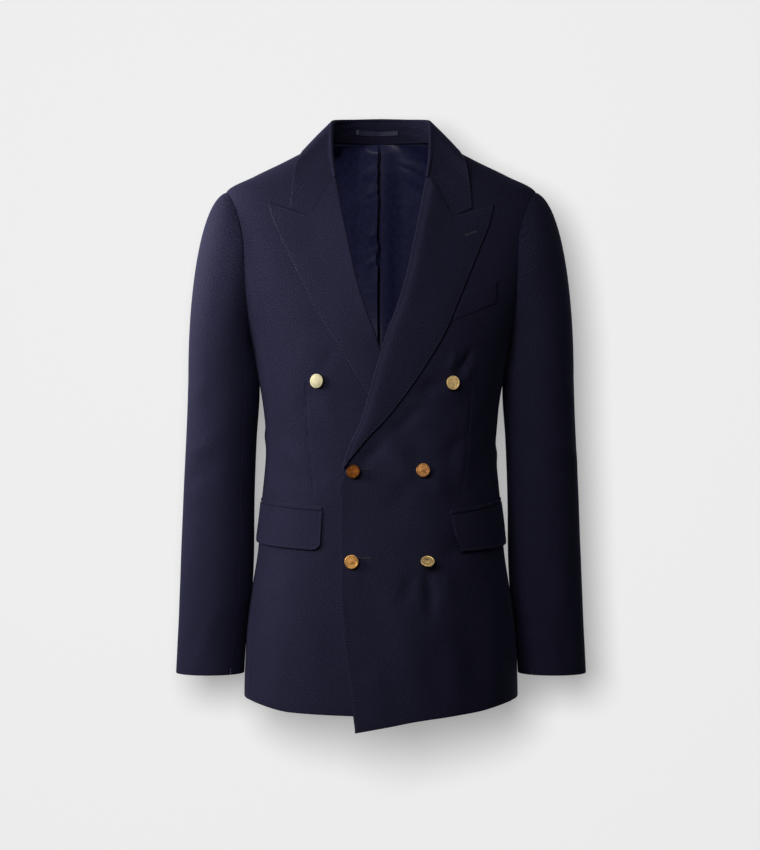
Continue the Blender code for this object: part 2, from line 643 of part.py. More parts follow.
for hand, side in (("left", 1), ("right", -1)):
    cloth(f"front_{hand}", front_grid(side, FRONT_COLUMNS), CLOTH, wool, side)
    cloth(f"side_body_{hand}", side_grid(), CLOTH, wool, side)
    cloth(f"back_{hand}", back_grid(BACK_COLUMNS), CLOTH, wool, side)
    cloth(f"lapel_{hand}", lapel_grid(side, 6, 4), CLOTH, wool, side)
    for name, angles in (("top_sleeve", top_angles), ("under_sleeve", under_angles)):
        grid = sleeve_grid(np.array(angles, dtype=float), CAP_ROWS, SLEEVE_HEIGHTS)
        cloth(f"{name}_{hand}", grid[:, ::-1], CLOTH, wool, side)
    cloth(f"lining_{hand}", lining_grid(side, 6, 9)[:, ::-1], SATIN, satin, side)
    cloth(f"pocket_jetting_{hand}", jetting_grid(side), CLOTH - 0.4, wool, side)
    cloth(f"pocket_flap_{hand}", flap_grid(side), CLOTH, wool, side)

stand, fall = collar_grids(16, 4, 4)
cloth("collar_stand", stand, CLOTH, wool)
cloth("collar_fall", fall, CLOTH, wool)
cloth("breast_welt", welt_grid(), CLOTH - 0.2, wool)
cloth("hanger_loop", loop_grid(), LOOP_WALL, satin)
for row in BUTTONS:
    button(*row, gilt)
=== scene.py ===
# %% [markdown]
# # A double breasted blazer
#
# The coat stands filled out, as it does on a wearer, but nobody is inside it. Everything here is made in
# millimetres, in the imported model's own frame, and scaled to metres when a mesh is made: +Z is up, the
# fronts face -Y, and the wearer's left is +X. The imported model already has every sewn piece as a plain
# wall. This script makes the same pieces again with fine cloth, folds, stitching and buttons, each in its
# own place.

# %% The frame
import math

import bpy
import numpy as np
from mathutils import Matrix, Vector


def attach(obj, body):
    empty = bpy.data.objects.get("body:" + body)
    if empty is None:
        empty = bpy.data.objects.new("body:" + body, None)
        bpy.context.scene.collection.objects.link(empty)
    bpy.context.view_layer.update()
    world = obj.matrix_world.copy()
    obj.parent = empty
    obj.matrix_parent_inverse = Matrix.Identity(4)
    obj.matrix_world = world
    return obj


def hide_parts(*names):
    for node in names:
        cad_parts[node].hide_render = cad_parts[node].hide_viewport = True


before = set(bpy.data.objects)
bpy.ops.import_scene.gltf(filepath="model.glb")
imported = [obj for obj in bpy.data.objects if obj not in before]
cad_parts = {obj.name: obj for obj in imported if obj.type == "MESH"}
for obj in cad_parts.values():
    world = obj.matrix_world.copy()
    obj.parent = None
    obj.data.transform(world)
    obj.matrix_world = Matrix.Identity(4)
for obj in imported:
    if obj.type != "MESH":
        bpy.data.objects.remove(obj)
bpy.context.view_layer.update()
MM = 0.001
coat = bpy.data.collections.new("blazer")
inside = bpy.data.collections.new("blazer_inside")
studio = bpy.data.collections.new("studio")
for collection in (coat, inside, studio):
    bpy.context.scene.collection.children.link(collection)
print("pieces in the frame:", len(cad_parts))

# %% [markdown]
# ## The camera
#
# A coat looks its true shape from far away through a long lens, where its sides run nearly parallel. The
# camera stands 3 m in front, level with the waist.

# %% Camera
camera_data = bpy.data.cameras.new("camera")
camera_data.sensor_width = 36
camera_data.lens = 92.07
camera = bpy.data.objects.new("camera", camera_data)
camera.location = (-0.0014, -3.0, -0.377)
camera.rotation_euler = (math.radians(90), 0, 0)
bpy.context.scene.collection.objects.link(camera)
bpy.context.scene.camera = camera

# %% [markdown]
# ## Reading the tailor's tables
#
# A pattern cutter works from a few measured levels: chest, waist, hem. `curve` draws a smooth line through
# such a table without bulging past any row, which is what a drafting curve does on paper.

# %% Curves through tables
def curve(table, column, at):
    rows = np.array(sorted(table), dtype=float)
    key, value = rows[:, 0], rows[:, column]
    at = np.clip(np.asarray(at, dtype=float), key[0], key[-1])
    step = np.diff(key)
    slope = np.diff(value) / step
    tangent = np.zeros(len(key))
    tangent[0], tangent[-1] = slope[0], slope[-1]
    for i in range(1, len(key) - 1):
        if slope[i - 1] * slope[i] > 0:
            before, after = 2 * step[i] + step[i - 1], step[i] + 2 * step[i - 1]
            tangent[i] = (before + after) / (before / slope[i - 1] + after / slope[i])
    i = np.clip(np.searchsorted(key, at, side="right") - 1, 0, len(step) - 1)
    t = (at - key[i]) / step[i]
    return (value[i] * (1 + 2 * t) * (1 - t) ** 2 + tangent[i] * step[i] * t * (1 - t) ** 2
            + value[i + 1] * t * t * (3 - 2 * t) + tangent[i + 1] * step[i] * t * t * (t - 1))


def ease(value, start, end):
    """0 before start, 1 after end, smooth between."""
    t = np.clip((value - start) / (end - start), 0, 1)
    return t * t * (3 - 2 * t)


def mix(a, b, share):
    return a + (b - a) * share


def unit(vectors):
    return vectors / np.maximum(np.linalg.norm(vectors, axis=-1, keepdims=True), 1e-9)


# %% [markdown]
# ## The shape of the body
#
# Each level of the trunk is a rounded ring, a little squarer than an ellipse, and pointed at the shoulder
# line. A place on the coat is an angle round the body (0 at centre front, 90 at the side, 180 at centre
# back) with a height, and how far the cloth stands out from that surface.

# %% Rings of the body
# height, half width, depth in front, depth behind, squareness (2 is an ellipse)
BODY = (
    (24, 56, 8, 80, 2.0),
    (14, 78, 24, 82, 2.0),
    (0, 106, 41, 86, 1.9),
    (-17, 139, 54, 89, 1.85),
    (-33, 172, 63, 92, 1.85),
    (-57, 213.5, 76, 96, 1.9),
    (-90, 223, 91, 102, 2.0),
    (-132, 215, 107, 109, 2.15),
    (-180, 203, 121, 114, 2.3),
    (-234, 187, 133, 117, 2.35),
    (-268, 177, 137, 116, 2.35),
    (-300, 171, 138, 114, 2.35),
    (-364, 161, 135, 106, 2.35),
    (-410, 158.5, 134, 104, 2.35),
    (-480, 164, 138, 110, 2.35),
    (-547, 169, 142, 118, 2.35),
    (-604, 177, 146, 124, 2.35),
    (-674, 185, 150, 129, 2.35),
    (-754, 188, 153, 133, 2.35),
    (-790, 188, 153, 133, 2.35),
)


def ring_point(angle, z):
    power = 2 / curve(BODY, 4, z)
    sine, cosine = np.sin(angle), np.cos(angle)
    depth = np.where(cosine >= 0, curve(BODY, 2, z), curve(BODY, 3, z))
    x = curve(BODY, 1, z) * np.sign(sine) * np.abs(sine) ** power
    y = -depth * np.sign(cosine) * np.abs(cosine) ** power
    return np.stack(np.broadcast_arrays(x, y, z), axis=-1)


def skin(angle, z, out=0.0):
    """Points that stand out from the body's surface, along its normal."""
    angle, z = np.broadcast_arrays(np.asarray(angle, dtype=float), np.asarray(z, dtype=float))
    turn, rise = 0.01, 1.0
    across = ring_point(angle + turn, z) - ring_point(angle - turn, z)
    upward = ring_point(angle, z + rise) - ring_point(angle, z - rise)
    return ring_point(angle, z) + unit(np.cross(across, upward)) * np.asarray(out, dtype=float)[..., None]


def angle_at(x, z):
    share = np.clip(np.abs(x) / curve(BODY, 1, z), 0, 1)
    return np.sign(x) * np.arcsin(share ** (curve(BODY, 4, z) / 2))


print("chest girth about", round(float(np.linalg.norm(np.diff(
    ring_point(np.linspace(0, 2 * math.pi, 361), -268.0), axis=0), axis=1).sum())), "mm")

# %% [markdown]
# ## The seams and edges
#
# The same lines as the frame's own pieces: the armhole is an egg round the shoulder, the side body is sewn
# in below it, and the free edge runs from the neck down the roll of the lapel to the corner of the hem.

# %% Tables of the cut
ARM_MIDDLE, ARM_HALF, ARM_FRONT, ARM_BACK = -162.5, 105.5, 60, 62
FRONT_SEAM_ANGLE, BACK_SEAM_ANGLE = 150, 240
HEM, OVER_CORNER, LAPEL_END = -755, -782, -436
# the over front's hem: distance from the centre, height
OVER_HEM = ((-40, OVER_CORNER), (14, -772), (46, -766), (88, -761), (130, -757), (190, HEM))
# height, angle of the side body's front seam, angle of its back seam
SIDE_SEAMS = (
    (-210, 80, 121), (-254, 79.7, 117), (-350, 75, 113), (-500, 71, 111), (-674, 69, 110), (-760, 68, 110),
)
# height, distance of the free edge from the centre
FRONT_EDGE = (
    (14, 74.5), (4, 72), (-10, 67.5), (-32, 62), (-46, 59.5), (-90, 51.5), (-137, 42), (-185, 31.5),
    (-227, 18.7), (-255, 7.5), (-283, -1.3), (-324, -13), (-370, -26), (-407, -41), (-440, -50),
    (-456, -53), (-580, -53), (-651, -49), (-709, -42.5), (-778, -34),
)
# row, height at the free edge, angle round the armhole, share of the side seam
FRONT_ROWS = (
    (0, 14, 0, 0), (1, 3, 15, 0), (2, -14, 30, 0), (3, -46, 50, 0), (4, -85, 70, 0), (5, -125, 90, 0),
    (6, -165, 110, 0), (7, -205, 130, 0), (8, -245, 150, 0), (9, -290, 150, 0.08), (10, -335, 150, 0.165),
    (11, -372, 150, 0.24), (12, -402, 150, 0.30), (13, -436, 150, 0.37), (14, -490, 150, 0.47),
    (15, -545, 150, 0.58), (16, -600, 150, 0.69), (17, -657, 150, 0.80), (18, -715, 150, 0.90),
    (19, -760, 150, 1.0),
)
FIRST_SIDE_ROW = 8
# row, height at the centre seam, height on the shoulder seam, angle round the armhole, share of the side seam
BACK_ROWS = (
    (0, 21, 14, 360, 0), (1, 6, 3, 360, 0), (2, -10, -12, 360, 0), (3, -27, -32, 360, 0),
    (4, -47, -57, 360, 0), (5, -62, -57, 345, 0), (6, -80, -57, 330, 0), (7, -105, -57, 310, 0),
    (8, -134, -57, 290, 0), (9, -168, -57, 270, 0), (10, -196, -57, 255, 0), (11, -224, -57, 240, 0),
    (12, -268, -57, 240, 0.08), (13, -313, -57, 240, 0.165), (14, -352, -57, 240, 0.24),
    (15, -384, -57, 240, 0.30), (16, -422, -57, 240, 0.37), (17, -476, -57, 240, 0.47),
    (18, -535, -57, 240, 0.58), (19, -593, -57, 240, 0.69), (20, -651, -57, 240, 0.80),
    (21, -704, -57, 240, 0.90), (22, -757, -57, 240, 1.0),
)
LAST_SHOULDER_ROW, LAST_ARMHOLE_ROW = 4, 11
# height, how far the over front stands out to lap over the other
OVERLAP = ((14, 0), (-60, 0), (-120, 1.6), (-200, 5), (-260, 7.6), (-440, 7.6), (-500, 4.4), (-790, 4.2))
OVERLAP_EASE = (62, 150)
# height, how far the soft roll of the over lapel and of the under lapel stands away from the chest
ROLL = (
    (-20, 0, 0), (-70, 5, 4), (-120, 8, 9), (-200, 8, 9), (-250, 5.5, 4), (-285, 4, 0), (-350, 2.5, 0),
    (-400, 0, 0),
)
ROLL_WIDTH = 62
# height, how far the over front's edge stands off below the lapel
EDGE_RISE = (
    (-385, 0), (-405, 3.6), (-430, 4.6), (-500, 3.6), (-550, 2.6), (-600, 3.4), (-680, 2.2), (-740, 0),
)
EDGE_RISE_WIDTH = 15
print("rows down a front:", len(FRONT_ROWS))

# %% Seam lines
# the wearer's sides: every net is made on the left, and the side's sign mirrors it
HANDS = (("left", 1), ("right", -1))
CLOTH = 1.6                             # wall of the wool
SEAM = 0.1                              # the gap between two sewn pieces
# the roll of a lapel, and how far its middle lies beyond the front's edge
FOLD_RADIUS, FOLD_SHIFT = 2.7, 1.2
ROLL_SETBACK = FOLD_RADIUS + FOLD_SHIFT
# the shoulder pad: its height, its place (x, z) and its reach (x, y, z)
PAD_HEIGHT, PAD_PLACE, PAD_REACH = 0.8, (204, -55), (17, 45, 24)
# how far the hem rises toward the sides, between which distances from the centre, and between which depths
HEM_RISE, RISE_ACROSS, RISE_DOWN = 7.0, (120, 188), (680, 755)


def armhole(degrees):
    """0 is the shoulder, 90 the front, 180 the pit, 270 the back."""
    turn = np.radians(degrees)
    z = ARM_MIDDLE + ARM_HALF * np.cos(turn)
    front = np.sin(turn) >= 0
    reach = np.abs(np.sin(turn)) * np.where(front, ARM_FRONT, ARM_BACK)
    depth = np.where(front, curve(BODY, 2, z), curve(BODY, 3, z))
    swing = np.arcsin(np.clip(reach / depth, 0, 1) ** (curve(BODY, 4, z) / 2))
    return math.pi / 2 - np.where(front, swing, -swing), z


def overlap(x, z, side):
    """How far a front stands away from the body: it laps over the other and swells under its lapel's roll."""
    inward = x - curve(FRONT_EDGE, 1, z)
    roll = curve(ROLL, 1 if side > 0 else 2, z) * (1 - np.clip(inward / ROLL_WIDTH, 0, 1)) ** 2
    if side < 0:
        return roll
    rise = curve(EDGE_RISE, 1, z) * np.exp(-np.maximum(inward, 0) / EDGE_RISE_WIDTH)
    return curve(OVERLAP, 1, z) * (1 - ease(x, *OVERLAP_EASE)) + roll + rise


def setback(z):
    return ROLL_SETBACK * ease(z, LAPEL_END - 20, LAPEL_END - 4)


def edge_x(z):
    return curve(FRONT_EDGE, 1, z) + setback(z)


def settle(net):
    """Lets every piece follow the shoulder pad and the hem's rise at the sides, so that the seams stay shut."""
    x, y, z = np.abs(net[..., 0]), net[..., 1], net[..., 2]
    (pad_x, pad_z), (wide, deep, tall) = PAD_PLACE, PAD_REACH
    pad = PAD_HEIGHT * np.exp(-((x - pad_x) / wide) ** 2 - ((z - pad_z) / tall) ** 2 - (y / deep) ** 2)
    settled = net.copy()
    settled[..., 2] += pad + HEM_RISE * ease(x, *RISE_ACROSS) * ease(-z, *RISE_DOWN)
    return settled


def side_seam(share, start_angle, seam_column):
    first_angle, first_z = armhole(start_angle)
    z = mix(first_z, HEM, share)
    drift = first_angle - math.radians(curve(SIDE_SEAMS, seam_column, first_z))
    return np.radians(curve(SIDE_SEAMS, seam_column, z)) + drift * (1 - share), z


# %% [markdown]
# ## Folds
#
# Worsted cloth over canvas is smooth, but it is never quite even. A strained button pulls a short crease,
# the skirt swings in long soft waves, and a sleeve breaks at the elbow. Each fold is a line with a width
# and a depth: it fades out at both ends, and no two are alike. Positive depths are ridges and negative ones
# are troughs.

# %% Folds from tables
FOLD_DEPTH = 1.35


def folds(table, across, z):
    """Sum of soft folds, each from one point of the cloth to another."""
    total = np.zeros(np.broadcast(across, z).shape)
    for x0, z0, x1, z1, width, depth in table:
        length = math.hypot(x1 - x0, z1 - z0)
        along_x, along_z = (x1 - x0) / length, (z1 - z0) / length
        along = (across - x0) * along_x + (z - z0) * along_z
        aside = (across - x0) * along_z - (z - z0) * along_x
        taper = np.clip(along / length, 0, 1)
        fade = np.clip(1 - np.abs(along - length / 2) / (length / 2 + width), 0, 1)
        bend = 0.12 * width * np.sin(3 * math.pi * taper + x0)
        section = FOLD_DEPTH * depth * np.exp(-((aside + bend) / width) ** 2)
        total += section * np.sin(fade * math.pi / 2) ** 1.5
    return total


# across from the centre and height where the fold starts and ends, width, depth
OVER_FRONT_FOLDS = (
    (-34, -440, 8, -392, 8, -2.4), (8, -392, 60, -348, 8, -2.0),
    (100, -310, 120, -278, 5, -4.6), (88, -304, 97, -280, 5, 2.6), (108, -318, 124, -296, 6, 1.4),
    (76, -320, 52, -334, 10, -3.4), (106, -336, 112, -356, 8, -1.2),
    (62, -424, 20, -380, 15, -2.2), (44, -448, 2, -404, 12, 2.4), (62, -446, 88, -466, 10, 2.6),
    (40, -450, 14, -486, 14, -1.6), (78, -424, 112, -388, 10, -1.6), (86, -452, 116, -470, 12, -1.4),
    (112, -340, 106, -476, 13, 2.8), (92, -372, 84, -410, 14, 1.4),
    (60, -568, 66, -632, 7, -4.4), (46, -568, 24, -616, 9, -1.8), (80, -562, 92, -620, 9, 1.2),
    (72, -566, 128, -512, 12, -1.6), (-30, -572, 4, -622, 12, -1.6), (20, -600, 44, -720, 20, 1.6),
    (110, -640, 132, -742, 16, -2.6), (140, -600, 160, -740, 14, 2.2), (-10, -690, 0, -775, 16, 1.4),
    (70, -660, 76, -758, 18, -1.6), (30, -500, 90, -520, 18, 1.0), (150, -380, 110, -420, 12, 0.9),
)
UNDER_FRONT_FOLDS = (
    (84, -312, 60, -272, 7, -1.4), (92, -330, 110, -372, 9, -1.0), (78, -330, 60, -380, 10, 1.0),
    (150, -400, 90, -430, 14, 1.2), (140, -440, 80, -452, 12, -1.1), (120, -560, 128, -700, 22, 1.4),
    (60, -540, 66, -730, 24, -1.3), (150, -600, 160, -745, 14, -1.4), (95, -620, 92, -750, 20, 1.0),
    (130, -200, 120, -300, 20, -0.8), (40, -470, 70, -520, 16, -0.9),
)
FRONT_FOLDS = {1: OVER_FRONT_FOLDS, -1: UNDER_FRONT_FOLDS}
BACK_FOLDS = (
    (150, -120, 110, -260, 22, -2.0), (120, -110, 96, -230, 18, 1.4), (60, -40, 30, -70, 16, 1.2),
    (140, -380, 60, -400, 15, -2.2), (150, -408, 50, -424, 13, 1.8), (130, -440, 40, -446, 16, -1.5),
    (60, -560, 66, -740, 26, 2.2), (110, -560, 120, -750, 20, -2.2), (150, -600, 158, -750, 14, 1.6),
    (20, -600, 20, -750, 16, -1.4), (80, -300, 60, -360, 22, 1.0),
)
SIDE_FOLDS = (
    (20, -360, -20, -392, 9, -1.6), (24, -400, -22, -410, 9, 1.2), (0, -560, 4, -740, 12, 1.2),
)


# %% [markdown]
# ## Making a piece of cloth
#
# A sewn piece starts as a net of points, rows down and columns round. `cut_cloth` lays a four-sided face
# on each cell, writes the flat cloth's own measure into a UV map, in metres, so that the weave keeps
# its real size, and gives it a wall with Solidify. Edges that are turned in and pressed are slightly
# rounded by `press_edges`.

# %% Nets of points
def net_normals(points):
    across = np.gradient(points, axis=1)
    downward = np.gradient(points, axis=0)
    return unit(np.cross(downward, across))


def faced(net, edge):
    """A view of a net whose first line is the named edge."""
    if edge in ("left", "right"):
        net = np.swapaxes(net, 0, 1)
    return net[::-1] if edge in ("bottom", "right") else net


def faced_back(net, edge):
    """Undoes faced."""
    if edge in ("bottom", "right"):
        net = net[::-1]
    return np.swapaxes(net, 0, 1) if edge in ("left", "right") else net


def inset(points, edges):
    """Draws the named edges of a net back by half a seam, along the cloth."""
    points = points.copy()
    for edge in edges.split():
        lines = faced(points, edge)
        lines[0] += unit(lines[1] - lines[0]) * SEAM / 2
    return points


def run_length(points):
    """Distance down every column of a net, or along a line, from its first point."""
    steps = np.linalg.norm(np.diff(points, axis=0), axis=-1)
    return np.concatenate((np.zeros((1,) + steps.shape[1:]), np.cumsum(steps, axis=0)))


def flat_measure(points, start=0.0):
    """The cloth's own measure: distance along each row from its first column, and the height."""
    return np.stack((run_length(np.swapaxes(points, 0, 1)).T + start, points[..., 2]), axis=-1)


# distance from the edge, share of the drop that is left there
PRESS_STEPS = ((0.0, 1.0), (0.45, 0.22), (1.2, 0.0))


def press_edges(points, measure, edges, drop=0.7):
    """Adds lines of points along the named edges and lets the cloth fall away to each edge itself.
    drop is one depth, or a function of the height that gives one."""
    normals = net_normals(points)
    for edge in edges.split():
        p, m, n = (faced(net, edge) for net in (points, measure, normals))
        length = np.linalg.norm(p[1] - p[0], axis=-1, keepdims=True)
        depth = drop(p[0][:, 2]) if callable(drop) else drop
        fall = n[0] * np.broadcast_to(depth, p[0].shape[:1])[:, None]
        shares = [np.clip(distance / np.maximum(length, 1e-6), 0, 0.6) for distance, _ in PRESS_STEPS]
        lines = [mix(p[0], p[1], share) - fall * left for share, (_, left) in zip(shares, PRESS_STEPS)]
        flats = [mix(m[0], m[1], share) for share in shares]
        points, measure, normals = (
            faced_back(np.concatenate((np.array(new), old[1:])), edge)
            for new, old in ((lines, p), (flats, m), ([n[0]] * len(shares), n)))
    return points, measure


# %% Cutting the cloth
def finish_piece(piece, stands_for=None):
    """Says what a piece moves with, and hides the frame's piece that it stands for."""
    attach(piece, "root")
    if stands_for:
        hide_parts(stands_for)


def put_in(piece, collection):
    """Takes a piece out of every collection and puts it in one."""
    for owner in list(piece.users_collection):
        owner.objects.unlink(piece)
    collection.objects.link(piece)


def apply_modifiers(piece):
    bpy.context.view_layer.objects.active = piece
    for modifier in list(piece.modifiers):
        bpy.ops.object.modifier_apply(modifier=modifier.name)


def cut_cloth(name, points, measure, wall, material, side=1, edging=None):
    rows, columns = points.shape[:2]
    flat = points.reshape(-1, 3) * MM * np.array((side, 1, 1))
    corner = (np.arange(rows - 1)[:, None] * columns + np.arange(columns - 1)[None, :]).reshape(-1)
    faces = np.stack((corner, corner + columns, corner + columns + 1, corner + 1), axis=1)
    if side < 0:
        faces = faces[:, ::-1]
    mesh = bpy.data.meshes.new(name)
    mesh.from_pydata(flat.tolist(), [], faces.tolist())
    layer = mesh.uv_layers.new(name="cloth")
    laid = measure.reshape(-1, 2) * MM
    loops = np.empty(len(mesh.loops), dtype=np.int32)
    mesh.loops.foreach_get("vertex_index", loops)
    layer.data.foreach_set("uv", laid[loops].astype(np.float32).reshape(-1))
    mesh.materials.append(material)
    # the second slot takes the wall's cut rims: unless told otherwise, the much darker painted-shade wool,
    # which stands for the shadow along edges and seams
    mesh.materials.append(edging or painted_shade_wool)
    mesh.shade_smooth()
    piece = bpy.data.objects.new(name, mesh)
    coat.objects.link(piece)
    thicken = piece.modifiers.new("wall", "SOLIDIFY")
    thicken.thickness = wall * MM
    thicken.offset = -1
    thicken.material_offset_rim = 1         # the wall's cut edges take the edging
    apply_modifiers(piece)
    piece.data.set_sharp_from_angle(angle=math.radians(50))
    print(f"{name}: {len(piece.data.polygons)} faces")
    return piece


# %% [markdown]
# ## Finishes
#
# Three real materials make the coat. The outside is a navy worsted wool in a fine twill, which is matt,
# slightly fuzzy at grazing angles, and flecked by its yarns. The half lining is a satin whose long floats
# make it sleek along the cloth and dull across it. The buttons are gilt brass.

# %% Colours and nodes
def colour(hex_code):
    """A linear colour from an sRGB hex value."""
    parts = [int(hex_code[i:i + 2], 16) / 255 for i in (0, 2, 4)]
    return [c / 12.92 if c <= 0.04045 else ((c + 0.055) / 1.055) ** 2.4 for c in parts] + [1.0]


def node(tree, kind, settings=None, inputs=None):
    """Adds a node, with its settings, its socket values and its links."""
    made = tree.nodes.new(kind)
    for key, value in (settings or {}).items():
        setattr(made, key, value)
    for key, value in (inputs or {}).items():
        if isinstance(value, bpy.types.NodeSocket):
            tree.links.new(value, made.inputs[key])
        else:
            made.inputs[key].default_value = value
    return made


def new_material(name):
    material = bpy.data.materials.new(name)
    material.use_nodes = True
    return material, material.node_tree, material.node_tree.nodes["Principled BSDF"]


def laid_cloth(tree):
    return node(tree, "ShaderNodeUVMap", {"uv_map": "cloth"}).outputs["UV"]


def mapped(tree, place, **settings):
    return node(tree, "ShaderNodeMapping", inputs={"Vector": place, **settings}).outputs["Vector"]


def noise(tree, place, scale, detail=2.0, roughness=0.5):
    return node(tree, "ShaderNodeTexNoise", inputs={"Vector": place, "Scale": scale, "Detail": detail,
                                                    "Roughness": roughness}).outputs["Fac"]


def ridges(tree, place, pitch, inputs):
    """Ridges across the place's x, which lie a pitch apart."""
    return node(tree, "ShaderNodeTexWave", {"wave_type": "BANDS", "bands_direction": "X"},
                {"Vector": place, "Scale": math.tau / 20 / pitch, **inputs}).outputs["Fac"]


def weigh(tree, value, weight, rest):
    inputs = {0: value, 1: weight, 2: rest}
    return node(tree, "ShaderNodeMath", {"operation": "MULTIPLY_ADD"}, inputs).outputs["Value"]


def ramp(tree, factor, stops):
    made = node(tree, "ShaderNodeValToRGB", inputs={"Fac": factor})
    for element, (position, shade) in zip(made.color_ramp.elements, stops):
        element.position = position
        element.color = colour(shade)
    return made.outputs["Color"]


def dress(tree, shader, tint, stops, grain, rough, relief, bump, sockets):
    """Gives a shader two colours, a range of roughness, a bump (strength, depth) and its other sockets."""
    rough = node(tree, "ShaderNodeMapRange", inputs={"Value": grain, "To Min": rough[0], "To Max": rough[1]})
    bumped = node(tree, "ShaderNodeBump", inputs={"Height": relief, "Strength": bump[0], "Distance": bump[1]})
    for socket, value in (("Base Color", ramp(tree, tint, stops)), ("Roughness", rough.outputs["Result"]),
                          ("Normal", bumped.outputs["Normal"])):
        tree.links.new(value, shader.inputs[socket])
    for socket, value in sockets.items():
        shader.inputs[socket].default_value = value


# %% [markdown]
# ### Worsted wool twill
#
# The twill's ridges climb from lower left to upper right. Their real pitch is about 0.8 mm, too fine to
# show at this distance, so they are drawn 2.6 mm apart, wavering and very faint. Over them lies the fleck
# of the yarns, a little over 1 mm across and longer along the weft, and broad cloudy patches where the nap
# lies differently. Where an edge is turned in and pressed, the cloth is seen end on, and there every wall's
# cut rim gets a much darker copy of the same wool: painted shade, standing for the shadow along edges and
# seams. The lapels are turned by the slope of their roll.

# %% Wool
TWILL_PITCH, FLECK_SIZE, CLOUD_SIZE = 0.0026, 0.0012, 0.05
TWILL_SLOPE, LAPEL_SLOPE = math.radians(-58), math.radians(29)


def make_wool(name, deep, light, slope=0.0):
    material, tree, shader = new_material(name)
    place = mapped(tree, laid_cloth(tree), Rotation=(0, 0, slope))
    twill = ridges(tree, mapped(tree, place, Rotation=(0, 0, TWILL_SLOPE)), TWILL_PITCH,
                   {"Distortion": 6.0, "Detail": 1.0, "Detail Scale": 1.5})
    fleck = noise(tree, mapped(tree, place, Scale=(0.6, 1.0, 1.0)), 1 / FLECK_SIZE, 1.0, 0.6)
    cloud = noise(tree, place, 1 / CLOUD_SIZE)
    yarn = weigh(tree, twill, 0.12, fleck)
    dress(tree, shader, weigh(tree, cloud, 0.12, yarn), ((0.42, deep), (0.84, light)), fleck, (0.74, 0.92),
          yarn, (0.6, 0.0005), {"Specular IOR Level": 0.03, "Sheen Weight": 0.06, "Sheen Roughness": 0.45,
                                "Sheen Tint": colour("8a8fc0")})
    return material


wool = make_wool("worsted_wool_twill", "1c1b2b", "2f2e44")
lapel_wool = make_wool("worsted_wool_twill_lapel", "1c1b2b", "2f2e44", LAPEL_SLOPE)
# a much darker copy of the wool for cut rims and dart lines: painted shade, not a colour of the cloth
painted_shade_wool = make_wool("worsted_wool_painted_edge_shade", "040407", "14141f")
print("wool:", len(wool.node_tree.nodes), "nodes")

# %% [markdown]
# ### Satin lining
#
# Satin has its sheen from threads that float over several others before they are bound. Fine ribs along the
# length, 1.8 mm apart, bend the light sideways, and the sheen is stretched across them.

# %% Satin
RIB_PITCH, SLUB_SIZE = 0.0018, 0.007


def make_satin(name, deep, light):
    material, tree, shader = new_material(name)
    cloth = laid_cloth(tree)
    slub = noise(tree, cloth, 1 / SLUB_SIZE)
    dress(tree, shader, slub, ((0.3, deep), (0.75, light)), slub, (0.38, 0.5),
          ridges(tree, cloth, RIB_PITCH, {"Distortion": 0.6}), (0.12, 0.0002),
          {"Anisotropic": 0.5, "Specular IOR Level": 0.15, "Sheen Weight": 0.15,
           "Sheen Tint": colour("8088e0")})
    return material


satin = make_satin("satin_lining", "1a1b36", "25274a")
ribbon = make_satin("satin_ribbon", "1c1f33", "2e3149")
print("satin:", len(satin.node_tree.nodes), "nodes")

# %% [markdown]
# ### Gilt brass and sewing thread
#
# The buttons are stamped brass with a thin gilding, bright but not a mirror: handling leaves fine
# scratches. Each button has its own copy of the gilt, in a tone from pale to dark brown; the differences
# between them are painted reflection, copying how much light each one caught. The thread of the pick
# stitching is silk in the cloth's own colour, a shade lighter because it shines. The hanger loop is edged
# with a paler silk, and the buttonholes are worked in a dark one.

# %% Gilt and thread
def make_gilt(name, pale, warm, polish):
    material, tree, shader = new_material(name)
    place = node(tree, "ShaderNodeTexCoord").outputs["Object"]
    patina = noise(tree, place, 260.0, 4.0)
    dress(tree, shader, patina, ((0.3, warm), (0.7, pale)), patina, (polish, polish + 0.16),
          noise(tree, place, 2200.0), (0.15, 0.0001), {"Metallic": 1.0})
    return material


def make_thread(name, deep, light):
    material, tree, shader = new_material(name)
    strand = noise(tree, node(tree, "ShaderNodeTexCoord").outputs["Object"], 900.0)
    tree.links.new(ramp(tree, strand, ((0.3, deep), (0.8, light))), shader.inputs["Base Color"])
    return material


# one gilt brass in five tones: the tones are painted reflection, each copying how bright a button looked in its
# light
grey_reflection_gilt = make_gilt("gilt_brass_painted_grey_reflection", "8c866e", "766e54", 0.38)
bright_reflection_gilt = make_gilt("gilt_brass_painted_bright_reflection", "e0c288", "a08250", 0.24)
warm_reflection_gilt = make_gilt("gilt_brass_painted_warm_reflection", "ac8149", "865a30", 0.24)
dim_reflection_gilt = make_gilt("gilt_brass_painted_dim_reflection", "7f5833", "4e321a", 0.26)
dark_reflection_gilt = make_gilt("gilt_brass_painted_dark_reflection", "4c2a0e", "321807", 0.24)
thread = make_thread("silk_thread_navy", "101019", "3c3d58")
pale_thread = make_thread("silk_thread_grey_blue", "3c3f58", "7a7d98")
buttonhole_thread = make_thread("silk_thread_buttonhole", "07070c", "12131c")
print("gilt and thread done")

# %% [markdown]
# ## The body
#
# Fronts, side bodies and backs are nets between their seams. Each front's rows fan out from the shoulder
# seam, so the net follows the way the cloth hangs from the neck and the armhole.

